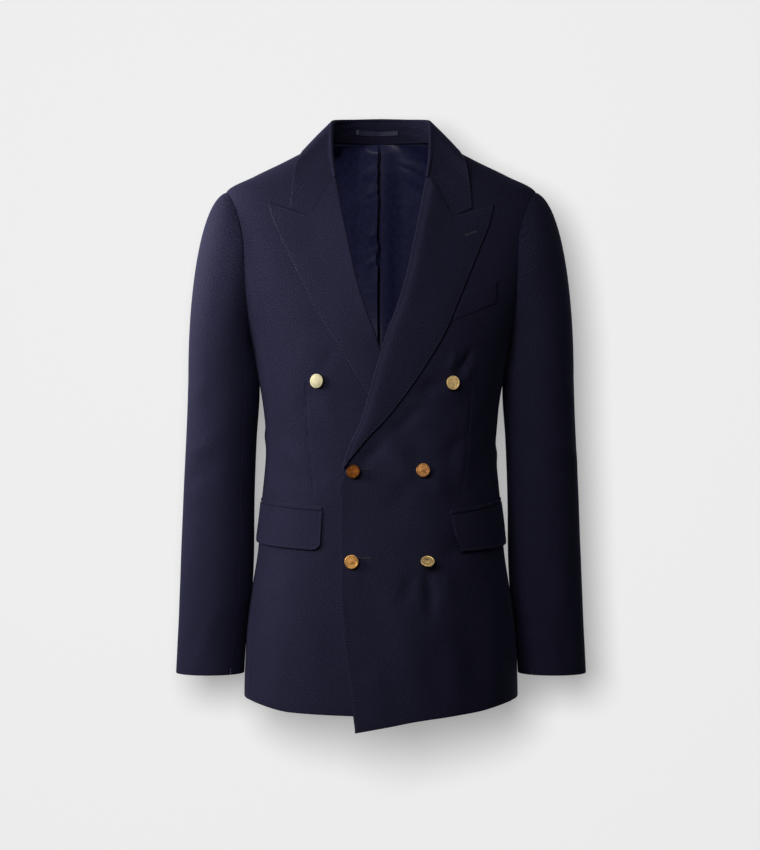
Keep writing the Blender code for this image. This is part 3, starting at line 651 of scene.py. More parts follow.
# %% Nets of the body
def front_net(side, rows, columns):
    row = np.linspace(0, FRONT_ROWS[-1][0], rows + 1)
    inner_z = curve(FRONT_ROWS, 1, row)
    if side > 0:
        inner_z = inner_z + (OVER_CORNER - FRONT_ROWS[-1][1]) * ease(row, 18, 19)
    inner_angle = angle_at(edge_x(inner_z), inner_z)
    arm_angle, arm_z = armhole(curve(FRONT_ROWS, 2, row))
    seam_angle, seam_z = side_seam(curve(FRONT_ROWS, 3, row), FRONT_SEAM_ANGLE, 1)
    on_armhole = row <= FIRST_SIDE_ROW
    outer_angle, outer_z = np.where(on_armhole, arm_angle, seam_angle), np.where(on_armhole, arm_z, seam_z)
    across = np.linspace(0, 1, columns + 1)[None, :]
    angle = mix(inner_angle[:, None], outer_angle[:, None], across)
    z = mix(inner_z[:, None], outer_z[:, None], across)
    if side > 0:
        hem_x = ring_point(angle[-1], z[-1])[:, 0]
        drop = curve(OVER_HEM, 1, hem_x)
        z = z + (drop - z[-1])[None, :] * ease(row, 15.5, 19)[:, None]
    x = ring_point(angle, z)[..., 0]
    relief = folds(FRONT_FOLDS[side], x, z) * ease(-z, 60, 150)
    lift = overlap(x, z, side) + relief + dart_line(x, z, side)
    return settle(inset(skin(angle, z, lift), "top left right"))


# height, distance of the front dart from the centre, on the left and on the right
DARTS = {
    1: ((-292, 115), (-331, 118), (-395, 111), (-470, 105)),
    -1: ((-320, 102), (-380, 99), (-420, 95), (-475, 91)),
}
DART_DEPTH, DART_WIDTH = 1.0, 1.6


def dart_line(x, z, side):
    """The seam of the front dart, a shallow groove that fades at its top."""
    line = curve(DARTS[side], 1, z)
    top, bottom = DARTS[side][0][0], DARTS[side][-1][0]
    shown = ease(-z, -top, -top + 30) * (1 - ease(-z, -bottom, -bottom + 8))
    return -DART_DEPTH * shown * np.exp(-((x - line) / DART_WIDTH) ** 2)


def back_net(side, rows, columns):
    row = np.linspace(0, BACK_ROWS[-1][0], rows + 1)
    centre_z, shoulder_z = curve(BACK_ROWS, 1, row), curve(BACK_ROWS, 2, row)
    arm_angle, arm_z = armhole(curve(BACK_ROWS, 3, row))
    seam_angle, seam_z = side_seam(curve(BACK_ROWS, 4, row), BACK_SEAM_ANGLE, 2)
    on_shoulder, on_armhole = row <= LAST_SHOULDER_ROW, row <= LAST_ARMHOLE_ROW
    outer_angle = np.where(on_shoulder, math.pi / 2, np.where(on_armhole, arm_angle, seam_angle))
    outer_z = np.where(on_shoulder, shoulder_z, np.where(on_armhole, arm_z, seam_z))
    across = np.linspace(0, 1, columns + 1)[None, :]
    angle = mix(outer_angle[:, None], math.pi, across)
    z = mix(outer_z[:, None], centre_z[:, None], across)
    x = ring_point(angle, z)[..., 0]
    shift = 5.0 * side
    relief = folds(BACK_FOLDS, x + shift, z + 2 * shift) * ease(x, 0, 30) * ease(-z, 20, 90)
    return settle(inset(skin(angle, z, relief), "left right"))


def side_net(side, rows, columns):
    across = np.linspace(0, 1, columns + 1)
    arm = mix(FRONT_SEAM_ANGLE, BACK_SEAM_ANGLE, across)
    row = np.linspace(FIRST_SIDE_ROW, FRONT_ROWS[-1][0], rows + 1)
    share = curve(FRONT_ROWS, 3, row)[:, None]
    top_angle, top_z = armhole(arm)
    front_angle, front_z = side_seam(share, FRONT_SEAM_ANGLE, 1)
    back_angle, back_z = side_seam(share, BACK_SEAM_ANGLE, 2)
    bend = top_angle - mix(front_angle[0], back_angle[0], across)
    dip = top_z - mix(front_z[0], back_z[0], across)
    angle = mix(front_angle, back_angle, across) + bend * (1 - share)
    z = mix(front_z, back_z, across) + dip * (1 - share)
    y = ring_point(angle, z)[..., 1]
    relief = folds(SIDE_FOLDS, y, z + 12 * side) * np.sin(np.pi * across)[None, :]
    return settle(inset(skin(angle, z, relief), "top left right"))


def shoulder_fade(z, depth=0.7):
    """Depth of the armhole's seam, which is flat on top of the shoulder and sinks in below it."""
    return depth * ease(-z, 56, 110)


def cut_piece(name, net, measure, *presses, side=1, wall=CLOTH, material=None, edging=None):
    """Presses a net's edges, each group to its own depth, and cuts the cloth of the piece of that name."""
    for edges, drop in presses:
        net, measure = press_edges(net, measure, edges, drop)
    pieces[name] = cut_cloth(f"{name}_cloth", net, measure, wall, material or wool, side, edging)


# %% Body pieces
PRESS = 0.7
pieces, body_nets = {}, {}

for hand, side in HANDS:
    net = body_nets[hand] = front_net(side, rows=190, columns=64)
    height = net[:, 0, 2]
    start = ring_point(angle_at(edge_x(height), height), height)[:, :1]
    cut_piece(f"front_{hand}", net, flat_measure(net, start), ("left bottom", PRESS), ("right", shoulder_fade),
              side=side)
    net = side_net(side, rows=120, columns=30)
    cut_piece(f"side_body_{hand}", net, flat_measure(net), ("left right top bottom", PRESS), side=side)
    net = back_net(side, rows=180, columns=54)
    cut_piece(f"back_{hand}", net, flat_measure(net), ("bottom", PRESS), ("right", PRESS / 2),
              ("left", shoulder_fade), side=side)

# %% [markdown]
# ## Lapels and collar
#
# A lapel is the front's own cloth turned back on itself. Pressed flat it would look dead, so a tailor lets
# it roll: in section it leaves the front's edge, turns round a soft fold and lies on the chest with a
# little air under it. The collar does the same round the neck: a stand rises from the neck seam and the
# fall turns over it.

# %% Tables of lapels and collar
# height on the roll, then the outer edge of the over lapel and of the under lapel (x, z)
LAPEL_ROWS = (
    (-46, 151.5, -80, 152.5, -77), (-85, 146, -104, 146, -98), (-125, 133, -137, 133, -128),
    (-165, 118, -173, 117.5, -160), (-205, 101, -214, 100, -196), (-245, 84, -252, 81, -233),
    (-290, 61, -292, 56, -273), (-335, 33, -334, 28, -319), (-372, 9, -366, 4, -355),
    (-402, -18, -395, -21, -391), (-436, -45, -431, -45, -431),
)
NOTCH = np.array((95.0, -99.0))
LAPEL_LIFT = 3.1
# how much fuller the over lapel's fold is than the other one, and how far in from the fold it is fullest
CREST, CREST_WIDTH = 3.6, 8.5
LAPEL_BELLY = 1.6           # how far a lapel swells off the chest in its middle
# station, neck seam (angle, z), fold line (x, y, z), outer edge (x, y, z)
COLLAR = (
    (0, 180, 21, 0, 76, 56, 0, 91, 4), (1, 154, 20.4, 31, 69.5, 54.5, 44, 83, 4),
    (2, 122, 17.5, 55, 44, 50.5, 80, 61, 5), (3, 90, 14, 65.2, 8, 43, 101.5, 6, 4.8),
    (4, 52, 5, 65.6, -25, 18, 115, -48, -19), (5, 36, -10, 64, -50, -10, 120, -68, -54),
    (6, 20.7, -46, 59.7, -69, -43, 122.5, -85, -86),
)
NOTCH_SHARE, COLLAR_BULGE = 0.68, 1.5
print("lapel rows:", len(LAPEL_ROWS), "collar stations:", len(COLLAR))


# %% Lapel nets
def fold_steps(steps):
    """The rolled edge in section: distance beyond the piece that it grows from, and height above that piece."""
    turn = np.linspace(0, math.pi, steps + 1)
    beyond = np.append(SEAM, FOLD_SHIFT + FOLD_RADIUS * np.sin(turn))
    height = np.append(-CLOTH, FOLD_RADIUS - CLOTH - FOLD_RADIUS * np.cos(turn))
    return beyond, height


def smooth_row(table, columns, row):
    numbered = [(i, *entry) for i, entry in enumerate(table)]
    return np.stack([curve(numbered, c, row) for c in columns], axis=-1)


def lapel_net(side, rows, columns, fold):
    row = np.linspace(0, len(LAPEL_ROWS) - 1, rows + 1)
    down = row / row[-1]
    roll_z = smooth_row(LAPEL_ROWS, (1,), row)[:, 0]
    outer = smooth_row(LAPEL_ROWS, (2, 3) if side > 0 else (4, 5), row)
    beyond, height = fold_steps(fold)
    roll_x = edge_x(roll_z)
    across = np.linspace(0, 1, columns + 1)[1:]
    roll = np.stack((roll_x - FOLD_SHIFT, roll_z), axis=-1)
    top = np.where(across[:, None] < 0.5, mix(roll[0], NOTCH, across[:, None] * 2),
                   mix(NOTCH, outer[0], across[:, None] * 2 - 1))
    dip = top - mix(roll[0], outer[0], across[:, None])
    flat = mix(roll[:, None], outer[:, None], across[None, :, None])
    flat = flat + dip[None] * (1 - down[:, None, None]) ** 1.5
    x = np.concatenate((roll_x[:, None] - beyond[None, :], flat[..., 0]), axis=1)
    z = np.concatenate((np.repeat(roll_z[:, None], len(beyond), axis=1), flat[..., 1]), axis=1)
    belly = LAPEL_BELLY * np.sin(np.pi * across) * np.sin(np.pi * np.clip(down * 1.15, 0, 1))[:, None]
    inward = flat[..., 0] - roll_x[:, None]
    crest = CREST * (side > 0) * (1 - 0.6 * down[:, None])
    crest = crest * inward / CREST_WIDTH * np.exp(1 - inward / CREST_WIDTH)
    rest = mix(height[-1], LAPEL_LIFT, across)[None, :] + belly + np.maximum(crest, 0)
    lift = np.concatenate((np.repeat(height[None, :], rows + 1, axis=0), rest), axis=1) + overlap(x, z, side)
    return skin(angle_at(x, z), z, lift), np.stack((x, z), axis=-1)


# %% Collar nets
def collar_lines(station):
    neck = skin(np.radians(curve(COLLAR, 1, station)), curve(COLLAR, 2, station))
    fold = np.stack([curve(COLLAR, c, station) for c in (3, 4, 5)], axis=-1)
    edge = np.stack([curve(COLLAR, c, station) for c in (6, 7, 8)], axis=-1)
    return neck, fold, edge


def collar_frame(station):
    """Where the stand's top edge lies, which way is up the stand and which way is out from the neck."""
    neck, fold, _ = collar_lines(station)
    before, after = collar_lines(station - 0.02)[1], collar_lines(station + 0.02)[1]
    forward = unit(after - before)
    last = COLLAR[-1][0]
    gorge = ease(station, last - 1.6, last)[:, None]
    upward = unit(mix(unit(fold - neck), np.array((-0.97, -0.1, 0.2)), gorge))
    upward = unit(upward - forward * np.sum(upward * forward, axis=-1, keepdims=True))
    return neck, fold - upward * (FOLD_RADIUS + FOLD_SHIFT), upward, np.cross(upward, forward)


def both_sides(half):
    return np.concatenate((half[:0:-1] * np.array((-1, 1, 1)), half), axis=0)


def collar_nets(stations, fall_columns, fold, stand_rows):
    station = np.linspace(0, COLLAR[-1][0], stations + 1)
    neck, top, upward, outward = collar_frame(station)
    rise = np.linspace(0, 1, stand_rows + 1)[None, :, None]
    stand = mix(neck[:, None] + upward[:, None] * SEAM, top[:, None], rise)
    stand = stand[:np.count_nonzero(np.linalg.norm(top - neck, axis=-1) > 4)]
    beyond, height = fold_steps(fold)
    rolled = top[:, None] + upward[:, None] * beyond[None, :, None] + outward[:, None] * height[None, :, None]
    edge = collar_lines(station)[2]
    start = rolled[:, -1]
    share = np.linspace(0, 1, fall_columns + 1)[None, 1:, None]
    chord = mix(start[:, None], edge[:, None], share)
    fall = chord + outward[:, None] * COLLAR_BULGE * 4 * share * (1 - share)
    gorge = ease(station, 3.6, 6)[:, None]
    last = station[:, None] - (COLLAR[-1][0] - 1)
    kink = np.minimum(share[..., 0] / NOTCH_SHARE, (1 - share[..., 0]) / (1 - NOTCH_SHARE))
    kink = kink * np.clip(last, 0, 1) ** 1.5
    chord_notch = mix(np.array((start[-1, 0], start[-1, 2])), edge[-1, [0, 2]], NOTCH_SHARE)
    x = chord[..., 0] + kink * (NOTCH[0] - chord_notch[0])
    z = chord[..., 2] + kink * (NOTCH[1] - chord_notch[1])
    on_front = skin(angle_at(x, z), z, mix(height[-1] + 0.6, LAPEL_LIFT, share[..., 0]) + 0 * x)
    fall = mix(fall, on_front, gorge[..., None])
    fall_net = np.concatenate((rolled, fall), axis=1)
    return both_sides(stand), both_sides(fall_net)


def tuck_under(points, measure, reach):
    """Lets the lapel's top edge run on under the end of the collar, as far as the notch."""
    share = np.linspace(0, 1, points.shape[1])
    reach = reach * (1 - ease(share, 0.5, 0.62))[:, None]
    upward = unit(points[0] - points[4])
    below = net_normals(points)[0] * np.minimum(reach, 1.3)
    near = points[0] + upward * np.minimum(reach, 0.3) - below
    lines = np.stack((points[0] + upward * reach - below, near))
    flats = np.stack((measure[0] + np.concatenate((0 * reach, reach), axis=1), measure[0]))
    return np.concatenate((lines, points)), np.concatenate((flats, measure))


# %% Lapels and collar in cloth
SEWN_DOWN, FREE_EDGE = 0.12, 0.8         # how far a sewn edge and a free edge fall away
lapel_nets = {}
for hand, side in HANDS:
    net, flat = lapel_net(side, rows=120, columns=34, fold=9)
    lapel_nets[hand] = net
    points, measure = tuck_under(*press_edges(net, flat, "top", SEWN_DOWN), reach=5.0)
    cut_piece(f"lapel_{hand}", points, measure, ("right", FREE_EDGE), side=side, material=lapel_wool)

stand_net, fall_net = collar_nets(stations=100, fall_columns=26, fold=9, stand_rows=14)
cut_piece("collar_stand", stand_net, flat_measure(stand_net)[..., ::-1], ("left", 0.3))
measure = np.stack((run_length(fall_net), flat_measure(fall_net)[..., 0]), axis=-1)
cut_piece("collar_fall", fall_net, measure, ("top bottom", SEWN_DOWN), ("right", FREE_EDGE))

# %% [markdown]
# ## Sleeves
#
# A tailored sleeve has two pieces, a wide top sleeve and a narrow under sleeve. Its head swings out of the
# armhole with a little fullness, so that the cap stands just proud of the shoulder, and the arm hangs
# almost straight.

# %% Sleeve nets
# height, centre x, half width, centre y, half depth
SLEEVE = (
    (-300, 217.4, 48.4, 2, 60), (-315, 216.8, 49.2, 3, 59.5), (-335, 217.2, 49.5, 4, 59),
    (-398, 220.6, 48.7, 6, 56.5), (-480, 224, 49.2, 6, 52), (-563, 226, 50.4, 4, 49),
    (-600, 227.5, 50.1, 3, 47.5), (-660, 232.6, 47.3, 1, 45), (-722, 235.6, 47, -2, 43),
)
CUFF = SLEEVE[-1][0]
FORE_SEAM, HIND_SEAM = 130, 240
# how far the head swings out before it turns down, at the side and how much farther on top; its roping there
HEAD_SWING, HEAD_SWING_TOP, ROPING = 21, 15, 0.2
ARM_RADIUS = 50             # turns an angle round the sleeve into millimetres
INNER_CALM = 0.85           # share of the folds that is missing on the inner side, toward the body
# angle round the sleeve and height where the fold starts and ends (angles as millimetres round), width, depth
SLEEVE_FOLDS = {
    1: ((60, -300, 20, -350, 12, -1.4), (75, -395, 10, -430, 12, -1.8), (80, -430, 30, -448, 10, 1.4),
        (50, -560, 64, -640, 14, -1.2), (88, -640, 40, -704, 12, 1.8), (95, -660, 62, -715, 9, -1.6),
        (-60, -380, -20, -420, 14, -1.8), (-70, -430, -30, -450, 12, 1.4), (70, -120, 86, -220, 14, -1.2),
        (20, -500, 34, -600, 20, 0.9), (-40, -120, -70, -230, 16, -1.4), (-50, -560, -36, -700, 18, 1.2)),
    -1: ((70, -305, 30, -352, 12, -1.0), (85, -392, 30, -422, 13, -1.6), (70, -440, 20, -456, 12, 1.2),
         (40, -520, 52, -610, 18, -0.9), (90, -620, 60, -700, 13, -1.0), (60, -640, 44, -715, 14, 1.0),
         (-62, -372, -24, -410, 14, -1.7), (-66, -420, -30, -446, 12, 1.5), (66, -130, 90, -235, 16, -1.0),
         (-44, -130, -72, -240, 16, -1.3), (-48, -540, -34, -690, 18, 1.1)),
}


def sleeve_ring(turn, z):
    x = curve(SLEEVE, 1, z) + curve(SLEEVE, 2, z) * np.cos(turn)
    y = curve(SLEEVE, 3, z) - curve(SLEEVE, 4, z) * np.sin(turn)
    return np.stack(np.broadcast_arrays(x, y, z), axis=-1)


def sleeve_net(side, first, last, columns, cap_rows, arm_rows):
    degrees = np.linspace(first, last, columns + 1)
    turn = np.radians(degrees)
    start = skin(*armhole(degrees % 360))
    roping = -ROPING * np.clip(np.cos(turn), 0, 1) ** 3
    away = unit(np.stack((0.575 + 0.425 * np.cos(turn), -0.4 * np.sin(turn),
                          -0.54 + 0.46 * np.cos(turn) + roping), axis=-1))
    start = start + away * SEAM * 1.5
    top = float(SLEEVE[0][0])
    end = sleeve_ring(turn, np.full(len(turn), top))
    below = sleeve_ring(turn, np.full(len(turn), top - 5.0))
    first_handle = start + away * (HEAD_SWING + HEAD_SWING_TOP * np.cos(turn))[:, None]
    last_handle = end + unit(end - below) * 0.45 * (start[:, 2] - end[:, 2])[:, None]
    t = np.linspace(0, 1, cap_rows + 1)[:, None, None]
    cap = (start * (1 - t) ** 3 + first_handle * 3 * t * (1 - t) ** 2
           + last_handle * 3 * t * t * (1 - t) + end * t ** 3)
    heights = np.linspace(top, CUFF, arm_rows + 1)[1:]
    net = np.concatenate((cap, sleeve_ring(turn[None, :], heights[:, None])))
    wrapped = (degrees + 180) % 360 - 180
    round_arm = wrapped * math.pi / 180 * ARM_RADIUS
    relief = folds(SLEEVE_FOLDS[side], round_arm[None, :] + 0 * net[..., 2], net[..., 2])
    quiet = ease(-net[..., 2], 80, 140) * (1 - ease(-net[..., 2], 700, 722))
    inner = 1 - INNER_CALM * ease(np.abs(wrapped), 100, 150)[None, :]
    net = net + net_normals(net) * (relief * quiet * inner)[..., None]
    measure = np.stack((np.broadcast_to(round_arm, net.shape[:2]), net[..., 2]), axis=-1)
    return settle(inset(net, "left right")), measure


for hand, side in HANDS:
    for name, first, last, columns in (("top_sleeve", HIND_SEAM - 360, FORE_SEAM, 84),
                                       ("under_sleeve", FORE_SEAM, HIND_SEAM, 36)):
        net, measure = sleeve_net(side, first, last, columns, cap_rows=60, arm_rows=96)
        cut_piece(f"{name}_{hand}", net[:, ::-1], measure[:, ::-1], ("left right bottom", 0.5),
                  ("top", lambda z: shoulder_fade(z, 0.9)), side=side)

# %% [markdown]
# ## The lining
#
# The back is lined to the waist. A pleat down the middle gives the wearer room to move: the left half ends
# in a fold over the right half, which dives under it, and the satin puckers a little beside the fold.

# %% Lining
LINING_EDGE, LINING_HEM, SATIN_WALL = 106, -400, 0.9
LINING_AIR = (2.4, 4.2)     # how far it lies inside the wool, at the neck and below
LINING_RELIEF = 0.42        # how much of its folds shows: satin this light lies nearly flat
LINING_NECK = ((90, 9), (122, 16.3), (154, 19.6), (182, 20.2))
PLEAT_LIFT, PLEAT_WIDTH = 8.5, 34
# where the under half dives, as distances from the centre, and how far that edge wavers
PLEAT_DIVE, PLEAT_WAVER = (-4.8, -3.6), 0.6
# across from the centre and height where each fold starts and ends, width, depth
LINING_FOLDS = {
    1: ((6, 6, 60, -16, 6, 2.2), (10, -6, 62, -34, 9, -1.6), (34, -40, 28, -240, 13, 1.4),
        (15, -50, 12, -280, 6, -1.2), (58, -60, 50, -260, 14, -1.2), (20, -120, 44, -160, 10, 0.8),
        (46, 2, 66, -30, 6, 1.2)),
    -1: ((8, -34, 26, -64, 5, 1.8), (8, -52, 34, -60, 5, -1.3), (9, -84, 14, -130, 4, 1.6),
         (24, -60, 18, -200, 10, 1.2), (44, -10, 52, -220, 12, -1.3), (8, -150, 14, -200, 5, -1.2),
         (60, -60, 58, -200, 12, 1.0), (7, -100, 20, -112, 4, 1.5), (7, -118, 18, -124, 3, -1.2),
         (7, -138, 22, -150, 4, 1.2), (7, -12, 30, -26, 5, 1.1)),
}


def lining_net(side, columns, rows):
    """Both halves rise toward the pleat; the left one ends in its fold and the right one dives under it."""
    last = 179.7 if side > 0 else 181.5
    across = np.linspace(0, 1, columns + 1)[None, :] ** 0.7
    angle = np.radians(mix(LINING_EDGE, last, across))
    down = np.linspace(0, 1, rows + 1)[:, None]
    z = mix(curve(LINING_NECK, 1, np.degrees(angle)), LINING_HEM, down ** 1.1)
    x = ring_point(angle, z)[..., 0]
    open_pleat = ease(-z, -21, -10)
    lifted = PLEAT_LIFT * ease(-x, -PLEAT_WIDTH, 0) * open_pleat
    if side < 0:
        waver = PLEAT_WAVER * np.sin(z / 7.0) * np.sin(z / 23.0 + 1)
        lifted = lifted * (1 - ease(-x, *(edge + waver for edge in PLEAT_DIVE)))
    relief = LINING_RELIEF * np.abs(folds(LINING_FOLDS[side], x, z)) * ease(x, 2, 8)
    return skin(angle, z, -mix(*LINING_AIR, ease(down, 0, 0.06)) - lifted - relief)


for hand, side in HANDS:
    net = lining_net(side, columns=90, rows=160)[:, ::-1]
    cut_piece(f"lining_{hand}", net, flat_measure(net), side=side, wall=SATIN_WALL, material=satin,
              edging=satin)

# %% [markdown]
# ## Pockets
#
# Each hip pocket is a slit bound with a narrow jetting, and a flap hangs over it. The breast pocket has a
# slanted welt. All of them are laid on the front's own surface, each one a cloth's thickness higher than
# what it covers.

# %% Pocket nets
# inner end at the top and the bottom, height of the top at both ends, height of the bottom at both ends, corner
FLAPS = {
    1: (90.5, 97.5, -496, -481.5, -545.5, -539.5, 6.0),
    -1: (77.3, 78.5, -491.6, -482.3, -543, -536, 9.0),
}
FLAP_OUTER_ANGLE, JETTING_END_ANGLE = 86, 83.5
# how far a flap stands off the front, how far it swings out toward its bottom, and its uneven swell
FLAP_LIFT, FLAP_SWING, FLAP_SWELL = 1.8, (0.1, 2.4), 0.5
JETTING_LIFT, WELT_LIFT, WELT_SLANT = 1.5, 2.0, 0.8
# corners of the welt (x, z), from the inner top one outward
WELT = ((109.5, -201), (154.5, -184), (154, -214), (92.5, -240))
POCKET_WALL = 1.2


def flap_net(side, rows, columns):
    top_x, bottom_x, top_in, top_out, bottom_in, bottom_out, radius = FLAPS[side]
    share = (0.5 - 0.5 * np.cos(np.pi * np.linspace(0, 1, columns + 1)))[None, :]
    down = np.linspace(0, 1, rows + 1)[:, None]
    angle = mix(angle_at(mix(top_x, bottom_x, down), top_in), math.radians(FLAP_OUTER_ANGLE), share)
    near = np.clip(np.minimum(share, 1 - share) * 130, 0, radius)
    corner = radius - np.sqrt(radius ** 2 - (radius - near) ** 2)
    z = mix(mix(top_in, top_out, share), mix(bottom_in, bottom_out, share) + corner, down)
    x = ring_point(angle, z)[..., 0]
    swell = FLAP_SWELL * np.sin(np.pi * down) * np.sin(2.2 * np.pi * share + side)
    return skin(angle, z, overlap(x, z, side) + FLAP_LIFT + mix(*FLAP_SWING, down) + swell)


def jetting_net(side):
    inner_x, _, low_in, low_out = FLAPS[side][:4]
    share = np.linspace(0, 1, 41)[None, :]
    rise = np.linspace(6.2, 0.8, 5)[:, None]
    angle = mix(angle_at(inner_x, low_in), math.radians(JETTING_END_ANGLE), share) + 0 * rise
    z = mix(low_in, low_out, share) + rise
    x = ring_point(angle, z)[..., 0]
    return skin(angle, z, overlap(x, z, side) + JETTING_LIFT)


def welt_net(rows, columns):
    top_in, top_out, bottom_out, bottom_in = (np.array(p, dtype=float) for p in WELT)
    share = np.linspace(0, 1, columns + 1)[None, :, None]
    down = np.linspace(0, 1, rows + 1)[:, None, None]
    flat = mix(mix(top_in, top_out, share), mix(bottom_in, bottom_out, share), down)
    x, z = flat[..., 0], flat[..., 1]
    return skin(angle_at(x, z), z, overlap(x, z, 1) + WELT_LIFT - WELT_SLANT * down[..., 0])


flap_nets = {}
for hand, side in HANDS:
    net = flap_nets[hand] = flap_net(side, rows=22, columns=48)
    cut_piece(f"pocket_flap_{hand}", net, flat_measure(net), ("left right bottom", 0.9), side=side)
    net = jetting_net(side)
    cut_piece(f"pocket_jetting_{hand}", net, flat_measure(net), ("top bottom left right", 1.2), side=side,
              wall=POCKET_WALL)

net = welt_net(rows=12, columns=20)
cut_piece("breast_welt", net, flat_measure(net), ("left right top bottom", 0.8), wall=POCKET_WALL)

# %% Hanger loop
LOOP_LEFT, LOOP_RIGHT, LOOP_LOW, LOOP_HIGH = -34, 24, 32, 39
# how far it stands off the collar stand, and how far its middle bows outward and sags
LOOP_AIR, LOOP_BOW, LOOP_SAG = 2.4, 0.6, 0.5
STAND_FOOT, STAND_TOP = 21, 52          # heights of the collar stand at the back


def loop_net():
    x = np.linspace(LOOP_LEFT, LOOP_RIGHT, 41)[None, :]
    z = np.linspace(LOOP_HIGH, LOOP_LOW, 7)[:, None]
    neck, top, _, _ = collar_frame(np.linspace(0, 1.4, 29))
    share = (z - STAND_FOOT) / (STAND_TOP - STAND_FOOT)
    low, high = (np.interp(np.abs(x), line[:, 0], line[:, 1]) for line in (neck, top))
    y = mix(low, high, share) - LOOP_AIR
    middle = 1 - ((x - (LOOP_LEFT + LOOP_RIGHT) / 2) / ((LOOP_RIGHT - LOOP_LEFT) / 2)) ** 2
    points = np.stack(np.broadcast_arrays(x, y - LOOP_BOW * middle, z - LOOP_SAG * middle), axis=-1)
    return points[:, ::-1]


ribbon_net = loop_net()
cut_piece("hanger_loop", ribbon_net, flat_measure(ribbon_net), ("top bottom", 0.4), wall=0.6, material=ribbon,
          edging=ribbon)

# %% Cloth takes its place
for name, piece in pieces.items():
    finish_piece(piece, name)
print(len(pieces), "pieces of cloth")

# %% [markdown]
# ## Buttons
#
# Each is a stamped disc with a bevelled rim, a sunk ring and a raised plain middle, on a short shank. Every
# button leans its own way on its thread, so the shank is made as long as the lean needs to clear the cloth.

# %% One button
BUTTON_RADIUS, BUTTON_THICKNESS, SHANK_RADIUS, SHANK_HEIGHT, BUTTON_AIR = 9.2, 2.6, 2.2, 2.4, 0.5
# the face from its rim inward, as steps in and up: bevel, rim, sunk ring, dish, second ring, raised middle
FACE_STEPS = ((0.9, 0.35), (0.5, 0), (0.4, -0.4), (2.2, 0.22), (0.3, -0.2), (3.0, 0.4))


def select_faces(obj, test):
    """Selects, in edit mode, the faces whose centre and normal pass a test."""
    bpy.ops.object.mode_set(mode="OBJECT")
    for face in obj.data.polygons:
        face.select = bool(test(face.center / MM, face.normal))
    bpy.ops.object.mode_set(mode="EDIT")
    bpy.ops.mesh.select_mode(type="FACE")


def model_button(back, foot):
    """A stamped disc whose back is that far from the cloth, with a shank that ends just above the cloth."""
    bpy.ops.object.select_all(action="DESELECT")
    bpy.ops.mesh.primitive_cylinder_add(vertices=64, radius=BUTTON_RADIUS * MM, depth=BUTTON_THICKNESS * MM,
                                        location=(0, 0, (back + BUTTON_THICKNESS / 2) * MM))
    disc = bpy.context.object
    bpy.ops.object.transform_apply(location=True)
    select_faces(disc, lambda centre, normal: normal.z > 0.9)
    for width, rise in FACE_STEPS:
        bpy.ops.mesh.inset(thickness=width * MM, depth=rise * MM)
    bpy.ops.mesh.poke()
    select_faces(disc, lambda centre, normal: normal.z < -0.9)
    bpy.ops.mesh.inset(thickness=(BUTTON_RADIUS - SHANK_RADIUS) * MM)
    bpy.ops.mesh.extrude_region_move(TRANSFORM_OT_translate={"value": (0, 0, -(back - foot) * MM)})
    bpy.ops.object.mode_set(mode="OBJECT")
    soften = disc.modifiers.new("soften", "BEVEL")
    soften.width = 0.28 * MM
    soften.segments = 3
    soften.limit_method = "ANGLE"
    soften.angle_limit = math.radians(25)
    apply_modifiers(disc)
    disc.data.shade_smooth()
    disc.data.set_sharp_from_angle(angle=math.radians(35))
    return disc


# %% Buttons on the coat
# name, distance of the disc from the centre (wearer's left is +), its height, and where its face looks: degrees
# toward the wearer's left, degrees up; and its gilt, whose tone is painted reflection
BUTTONS = (
    ("button_top_right", -84.3, -319, -27, 3, grey_reflection_gilt),
    ("button_top_left", 92, -320.6, 22, -3, bright_reflection_gilt),
    ("button_middle_right", -35, -439, -20, 8, dark_reflection_gilt),
    ("button_middle_left", 54, -437, -8, 8, dim_reflection_gilt),
    ("button_bottom_right", -38, -557, -8, 4, warm_reflection_gilt),
    ("button_bottom_left", 60, -557, 0, 48, bright_reflection_gilt),
)


def button_seat(x, z):
    """The point of the cloth under a button, and the cloth's normal there."""
    side = 1 if x > 0 or z < LAPEL_END else -1
    reach, height = np.array(side * x, dtype=float), np.array(float(z))
    lift = overlap(reach, height, side)
    flip = np.array((side, 1, 1))
    seat = skin(angle_at(reach, height), height, lift) * flip
    return Vector(seat), Vector(skin(angle_at(reach, height), height, lift + 1) * flip - seat).normalized()


def sew_button(name, x, z, turn, rise, gilt):
    turn, rise = math.radians(turn), math.radians(rise)
    axis = Vector((math.sin(turn) * math.cos(rise), -math.cos(turn) * math.cos(rise), math.sin(rise)))
    lean = axis.angle(button_seat(x, z)[1])
    back = max(SHANK_HEIGHT, (BUTTON_AIR + BUTTON_RADIUS * math.sin(lean)) / math.cos(lean))
    foot = (BUTTON_AIR + SHANK_RADIUS * math.sin(lean)) / math.cos(lean)
    seat = button_seat(x - axis.x * back, z - axis.z * back)[0]
    button = model_button(back, foot)
    button.name = button.data.name = f"{name}_gilt"
    button.data.transform(Matrix.Translation(seat * MM) @ axis.to_track_quat("Z", "Y").to_matrix().to_4x4())
    button.data.materials.append(gilt)
    put_in(button, coat)
    finish_piece(button, name)
    print(f"{name}: leans {math.degrees(lean):.0f} degrees, {len(button.data.polygons)} faces")


for row in BUTTONS:
    sew_button(*row)
